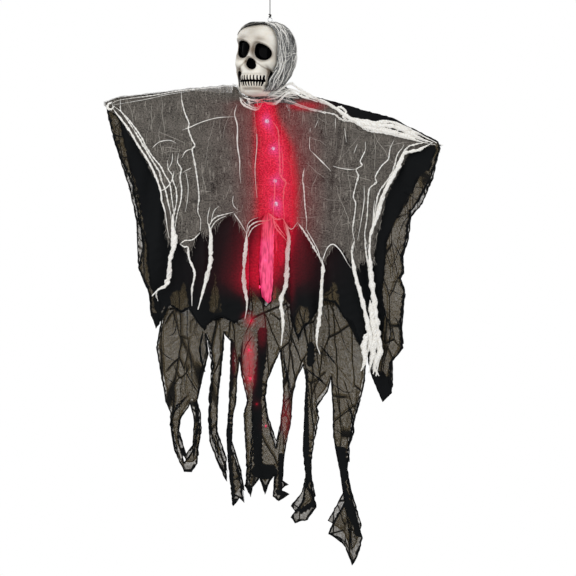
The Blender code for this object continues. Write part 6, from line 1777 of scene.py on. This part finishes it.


# How far out from the middle the cape's fold starts
ARM_FOLD_FROM = 0.052


def arm_fold(side):
    """The cape's gauze folded over the arm, from its front layer to its back one."""
    sign, rings, flat = SIGN[side], [], []
    outline = np.array(metres(CAPE_LEFT if side == "left" else CAPE_RIGHT))
    top = outline[1:8]
    top = top[np.argsort(sign * top[:, 0])]
    count, columns = 70, 17
    reach = np.linspace(ARM_FOLD_FROM, abs(top[-1, 0]) - 0.003, count)
    turn = np.linspace(0, math.pi, columns)
    over = np.sin(turn)
    for r, s in enumerate(reach):
        x = np.full(columns, sign * s)
        line = float(arm_line(sign * s))
        top_here = float(np.interp(s, np.abs(top[:, 0]), top[:, 1]))
        pinch = 1 - 0.45 * smooth((r / count - 0.90) / 0.10)
        wave = 0.0012 * ripple(np.full(columns, s), turn * 0.012, 0.018, 51)
        y = -0.0112 * np.cos(turn) * pinch + 0.0003
        z = line - 0.002 + (top_here - line + 0.004) * over**0.55 + wave * over
        inner = np.column_stack([x, y * 0.94, z - 0.0006 * over])[::-1]
        rings.append(np.vstack([np.column_stack([x, y, z]), inner]))
        flat.append(np.column_stack([np.full(2 * columns, s), np.r_[turn, turn[::-1]] * 0.012]))
    points, faces = loft(rings)
    # Its weave lies over the cape's own, so that its lower edges don't show
    upper = np.tile(np.r_[over, over[::-1]], count)
    ends = smooth((np.repeat(reach, 2 * columns) - ARM_FOLD_FROM) / 0.040)
    thin = (0.02 + 0.45 * np.clip(upper, 0, 1) ** 5) * ends
    piece = new_piece(f"cape_fold_{side}", points, faces, CAPE_GAUZE, weave=np.vstack(flat),
                      thin=thin, glow=0 * thin)
    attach(piece, f"{side}_arm")


# The scarf's section: half width, half depth and height of each ring, from the neck outward and
# back underneath
SCARF_SECTION = [
    (0.0150, 0.0145, -0.1835), (0.0215, 0.0195, -0.1815), (0.0275, 0.0215, -0.1860),
    (0.0330, 0.0225, -0.1925), (0.0400, 0.0225, -0.1975), (0.0480, 0.0200, -0.2030),
    (0.0540, 0.0170, -0.2090), (0.0500, 0.0145, -0.2085), (0.0380, 0.0165, -0.2000),
    (0.0260, 0.0170, -0.1930), (0.0170, 0.0135, -0.1880),
]


def neck_scarf():
    """Gauze bunched round the neck between the hood and the shoulders, over its tie."""
    rings, flat = [], []
    columns = 120
    turn = TURN * np.arange(columns) / columns
    for r, (wide, deep, z) in enumerate(catmull(SCARF_SECTION, 0.0016)):
        pleat = 1 + 0.055 * np.sin(14 * turn + 2.0 * ripple(turn, r * 0.02, 2.0, 91))
        pleat = pleat + 0.04 * ripple(turn, r * 0.05, 0.5, 92)
        lift = 0.0016 * ripple(turn, r * 0.06, 0.7, 93)
        tilt = 0.0045 * np.cos(turn) * smooth((wide - 0.020) / 0.02)
        rings.append(np.column_stack([wide * pleat * np.cos(turn) + 0.002,
                                      deep * pleat * np.sin(turn) - 0.001,
                                      z + lift - np.abs(tilt)]))
        flat.append(np.column_stack([turn * 0.035, np.full(columns, r * 0.0016)]))
    rings.append(rings[0])
    flat.append(flat[0])
    points, faces = loft(rings, caps=False)
    scarf = new_piece("neck_scarf", points, faces, HOOD_GAUZE, weave=np.vstack(flat))

    rng = np.random.default_rng(23)
    lines = []
    for k in range(16):
        start, sweep = rng.uniform(0, TURN), rng.uniform(1.6, 4.2)
        t = start + sweep * np.linspace(0, 1, 34)
        level = rng.uniform(0.25, 0.75) + 0.12 * ripple(t, k, 2.0, 300 + k)
        wide, deep, z = (np.interp(level, (0, 0.3, 0.7, 1), at_levels) for at_levels in (
            (0.0225, 0.0310, 0.0455, 0.0565),
            (0.0215, 0.0245, 0.0245, 0.0195),
            (-0.1805, -0.1860, -0.1990, -0.2075),
        ))
        line = np.column_stack([wide * np.cos(t) + 0.002, deep * np.sin(t) - 0.001, z])
        lines.append((line, rng.uniform(0.0004, 0.0012)))
    points, faces = tubes(lines, 6)
    threads = new_piece("neck_threads", points, faces, STRAND, glow=np.zeros(len(points)))

    lines = []
    for k, (half, threads_in, stray, route) in enumerate(NECK_STRANDS):
        placed = []
        for px, py in route:
            x, _, z = at(px, py, -0.030)
            outward = float(smooth((abs(x) - 0.03) / 0.03))
            y = -0.0305 if x < 0.0 and z < -0.2 else -0.0260 + 0.006 * outward
            x, _, z = at(px, py, y)
            placed.append((x, y, z))
        lines += twisted(placed, half * 0.001, threads_in, step=0.0030, lay=0.012, seed=700 + k,
                         fade=0.6, loose=stray * 0.001)
    points, faces = tubes(lines, 6)
    knotted = new_piece("neck_strands", points, faces, STRAND,
                        glow=0.8 * glow_at(points[:, 0], points[:, 2]))
    for piece in (scarf, threads, knotted):
        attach(piece, "torso")
    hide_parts("neck_tie")


# Each arm's ties: how far out, finish, slot, node, winding radius, thread radius, turns, radius of
# the tails and where each one ends
TIES = [
    (0.95, STRAND, "grey_gauze", "wrist_tie", 0.0049, 0.0014, 5, 0.0012,
     ((0.010, -0.016), (-0.006, -0.021), (0.015, -0.004))),
    (0.50, TIE_THREAD, "black_thread", "sleeve_tie", 0.0050, 0.0009, 6, 0.0006,
     ((0.003, -0.010), (-0.004, -0.012))),
]


def ties():
    """Cotton wound round each wrist with its knot and tails, and black thread at mid arm."""
    for side, sign in SIGN.items():
        droop = DROOP[side]
        way = np.array([sign * math.cos(droop), 0, -math.sin(droop)])
        up = np.array([sign * math.sin(droop), 0, math.cos(droop)])
        fore = np.array([0.0, -1.0, 0.0])
        start = np.array([sign * ARM_PIVOT_X, 0, ARM_HEIGHT])
        for share, finish, slot, node, ring, thick, turns, tail_thick, tails in TIES:
            centre = start + way * ARM_LENGTH[side] * share
            t = np.linspace(0, 1, 30 * turns)
            spin = TURN * turns * t
            wind = (centre + np.outer((t - 0.5) * 0.0042 + 0.0006 * np.sin(spin * 0.37), way)
                    + np.outer(ring * np.cos(spin), up) + np.outer(ring * np.sin(spin), fore))
            lines = [(wind, thick)]
            for dx, dz in tails:
                middle = centre + fore * (ring + 0.0025) + np.array([dx * 0.4 * sign, 0, dz * 0.3])
                end = centre + fore * (ring + 0.001) + np.array([dx * sign, 0, dz])
                tail = catmull([centre + fore * ring, middle, end], 0.0015)
                lines.append((tail, tail_thick * np.linspace(1, 0.4, len(tail))))
            a = np.linspace(0, TURN, 30)
            for tilt in (0.5, -0.5):
                loop = centre + fore * (ring + 0.001) + np.outer(0.0026 * np.cos(a), way)
                loop = loop + np.outer(0.0020 * np.sin(a), up)
                loop = loop + np.outer(0.0010 * np.sin(2 * a + tilt), fore)
                lines.append((loop, thick * 0.8))
            points, faces = tubes(lines, 8)
            piece = new_piece(f"{side}_{node}_wound", points, faces, finish,
                              glow=np.zeros(len(points)))
            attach(piece, f"{side}_arm")
            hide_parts(f"{side}_{node}")


def strands():
    """All strands and threads that lie loose on the cape, in front and behind."""
    left, right = stretch_inward(CAPE_LEFT, "left"), stretch_inward(CAPE_RIGHT, "right")
    middle = [(x * 1.5, z) for x, z in metres(CENTRE)]
    strand_piece("cape_strands_left", LEFT_STRANDS, "left", seed=100)
    strand_piece("cape_strands_right", RIGHT_STRANDS, "right", seed=400)
    strand_piece("cape_strands_middle", CHEST_STRANDS, "torso", "cape_middle", seed=700)
    for name, outline, body, layer, count, fringe, below, seed, slant in (
        ("cape_strays_left", left, "left", "cape_front", 30, 60, -0.36, 5, -0.12),
        ("cape_strays_right", right, "right", "cape_front", 34, 70, -0.38, 7, 0.12),
        ("cape_strays_middle", middle, "torso", "cape_middle", 9, 18, -0.38, 9, 0.0),
        ("cape_strays_left_back", left, "left", "cape_back", 60, 60, -0.36, 60, -0.10),
        ("cape_strays_right_back", right, "right", "cape_back", 60, 60, -0.37, 70, 0.10),
    ):
        lines = stray_threads(outline, layer, count, seed, slant)
        lines += hem_fringe(outline, layer, below, fringe, seed + 1)
        points, faces = tubes(lines, 5)
        glow = 0.9 * glow_at(points[:, 0], points[:, 2]) * (layer != "cape_back")
        piece = new_piece(name, points, faces, STRAY, glow=glow)
        go_with(piece, body)
    strand_piece("arm_rolls_left", LEFT_ARM_ROLLS, "left_arm", out=0.0012, seed=1000)
    strand_piece("arm_rolls_right", RIGHT_ARM_ROLLS, "right_arm", out=0.0012, seed=1100)
    # Behind, the thicker of the front's strands are repeated, without those below the hem
    for side, table, seed in (("left", LEFT_STRANDS, 160), ("right", RIGHT_STRANDS, 170)):
        repeated = [row for row in table if row[0] > 0.75 and row[3][-1][1] < 300]
        strand_piece(f"cape_strands_{side}_back", repeated, side, "cape_back", -0.0020, seed=seed)


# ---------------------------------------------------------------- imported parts, light and floor


def packed_finishes():
    """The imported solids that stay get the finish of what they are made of."""
    kinds = [
        (CORD_NYLON, ("hang_",)),
        (ZINC_STEEL, ("crown_eyelet", "stem_push_nut", "left_arm_rivet", "right_arm_rivet",
                      "left_arm_wire", "right_arm_wire", "case_screw")),
        (NICKEL_STEEL, ("cell_", "contact_")),
        (IVORY_HUB, ("neck_stem", "shoulder_hub")),
        (FOAM, ("head_core",)),
        (CASE_ABS, ("battery_", "switch_", "wire_gland")),
        (BOARD_GREEN, ("circuit_board",)),
    ]
    for name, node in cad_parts.items():
        for finish, starts in kinds:
            if name.startswith(starts):
                for material_slot in node.material_slots:
                    material_slot.material = finish


def floor_finish():
    finish, tree, shader = new_finish("pale_painted_board")
    place = add(tree, "ShaderNodeTexCoord").outputs["Object"]
    cloud = add(tree, "ShaderNodeTexNoise",
                {"Vector": place, "Scale": 3.0, "Detail": 3.0}).outputs[0]
    colour = add(tree, "ShaderNodeValToRGB", {"Fac": cloud},
                 stops=[(0.4, "#e9e8e6"), (0.6, "#efeeec")]).outputs["Color"]
    feed(tree, shader, {"Base Color": colour, "Roughness": 0.9})
    return finish


def room():
    """A plain pale floor under the figure, three soft lamps and a white background."""
    count = 96
    around = TURN * np.arange(count) / count
    top = np.column_stack([0.75 * np.cos(around), 0.75 * np.sin(around), np.full(count, -1.300)])
    points, faces = loft([top - (0, 0, 0.02), top])
    floor = new_piece("floor", points, faces, floor_finish(), smooth_shaded=False)
    for name, power, size, place in (
        ("key_lamp", 33.0, 1.6, (-1.5, -2.3, 0.9)),
        ("fill_lamp", 12.0, 2.0, (2.1, -2.0, -0.2)),
        ("back_lamp", 17.0, 1.6, (0.7, 2.5, 0.8)),
    ):
        data = bpy.data.lights.new(name, "AREA")
        data.energy, data.size = power, size
        lamp = bpy.data.objects.new(name, data)
        lamp.location = place
        lamp.rotation_euler = (Vector(place) - Vector((0, 0, -0.45))).to_track_quat("Z",
                                                                                    "Y").to_euler()
        bpy.context.scene.collection.objects.link(lamp)
    world = bpy.data.worlds.new("studio")
    bpy.context.scene.world = world
    world.use_nodes = True
    tree = world.node_tree
    tree.nodes.clear()
    path = add(tree, "ShaderNodeLightPath")
    seen = add(tree, "ShaderNodeMath",
               {0: path.outputs["Is Camera Ray"], 1: path.outputs["Is Glossy Ray"]},
               operation="MAXIMUM").outputs[0]
    seen = add(tree, "ShaderNodeMath", {0: seen, 1: path.outputs["Is Transmission Ray"]},
               operation="MAXIMUM").outputs[0]
    soft = add(tree, "ShaderNodeBackground",
               {"Color": (0.96, 0.98, 1.0, 1.0), "Strength": 0.64}).outputs[0]
    white = add(tree, "ShaderNodeBackground",
                {"Color": (1.0, 1.0, 1.0, 1.0), "Strength": 1.0}).outputs[0]
    both = add(tree, "ShaderNodeMixShader", {0: seen, 1: soft, 2: white}).outputs[0]
    add(tree, "ShaderNodeOutputWorld", {"Surface": both})
    bpy.context.scene.view_settings.view_transform = "Standard"


photo_camera()
hanging_cord()
light_string()
skull_face()
hood()
neck_scarf()
garments()
for arm_side in SIGN:
    arm_fold(arm_side)
strands()
ties()
packed_finishes()
room()
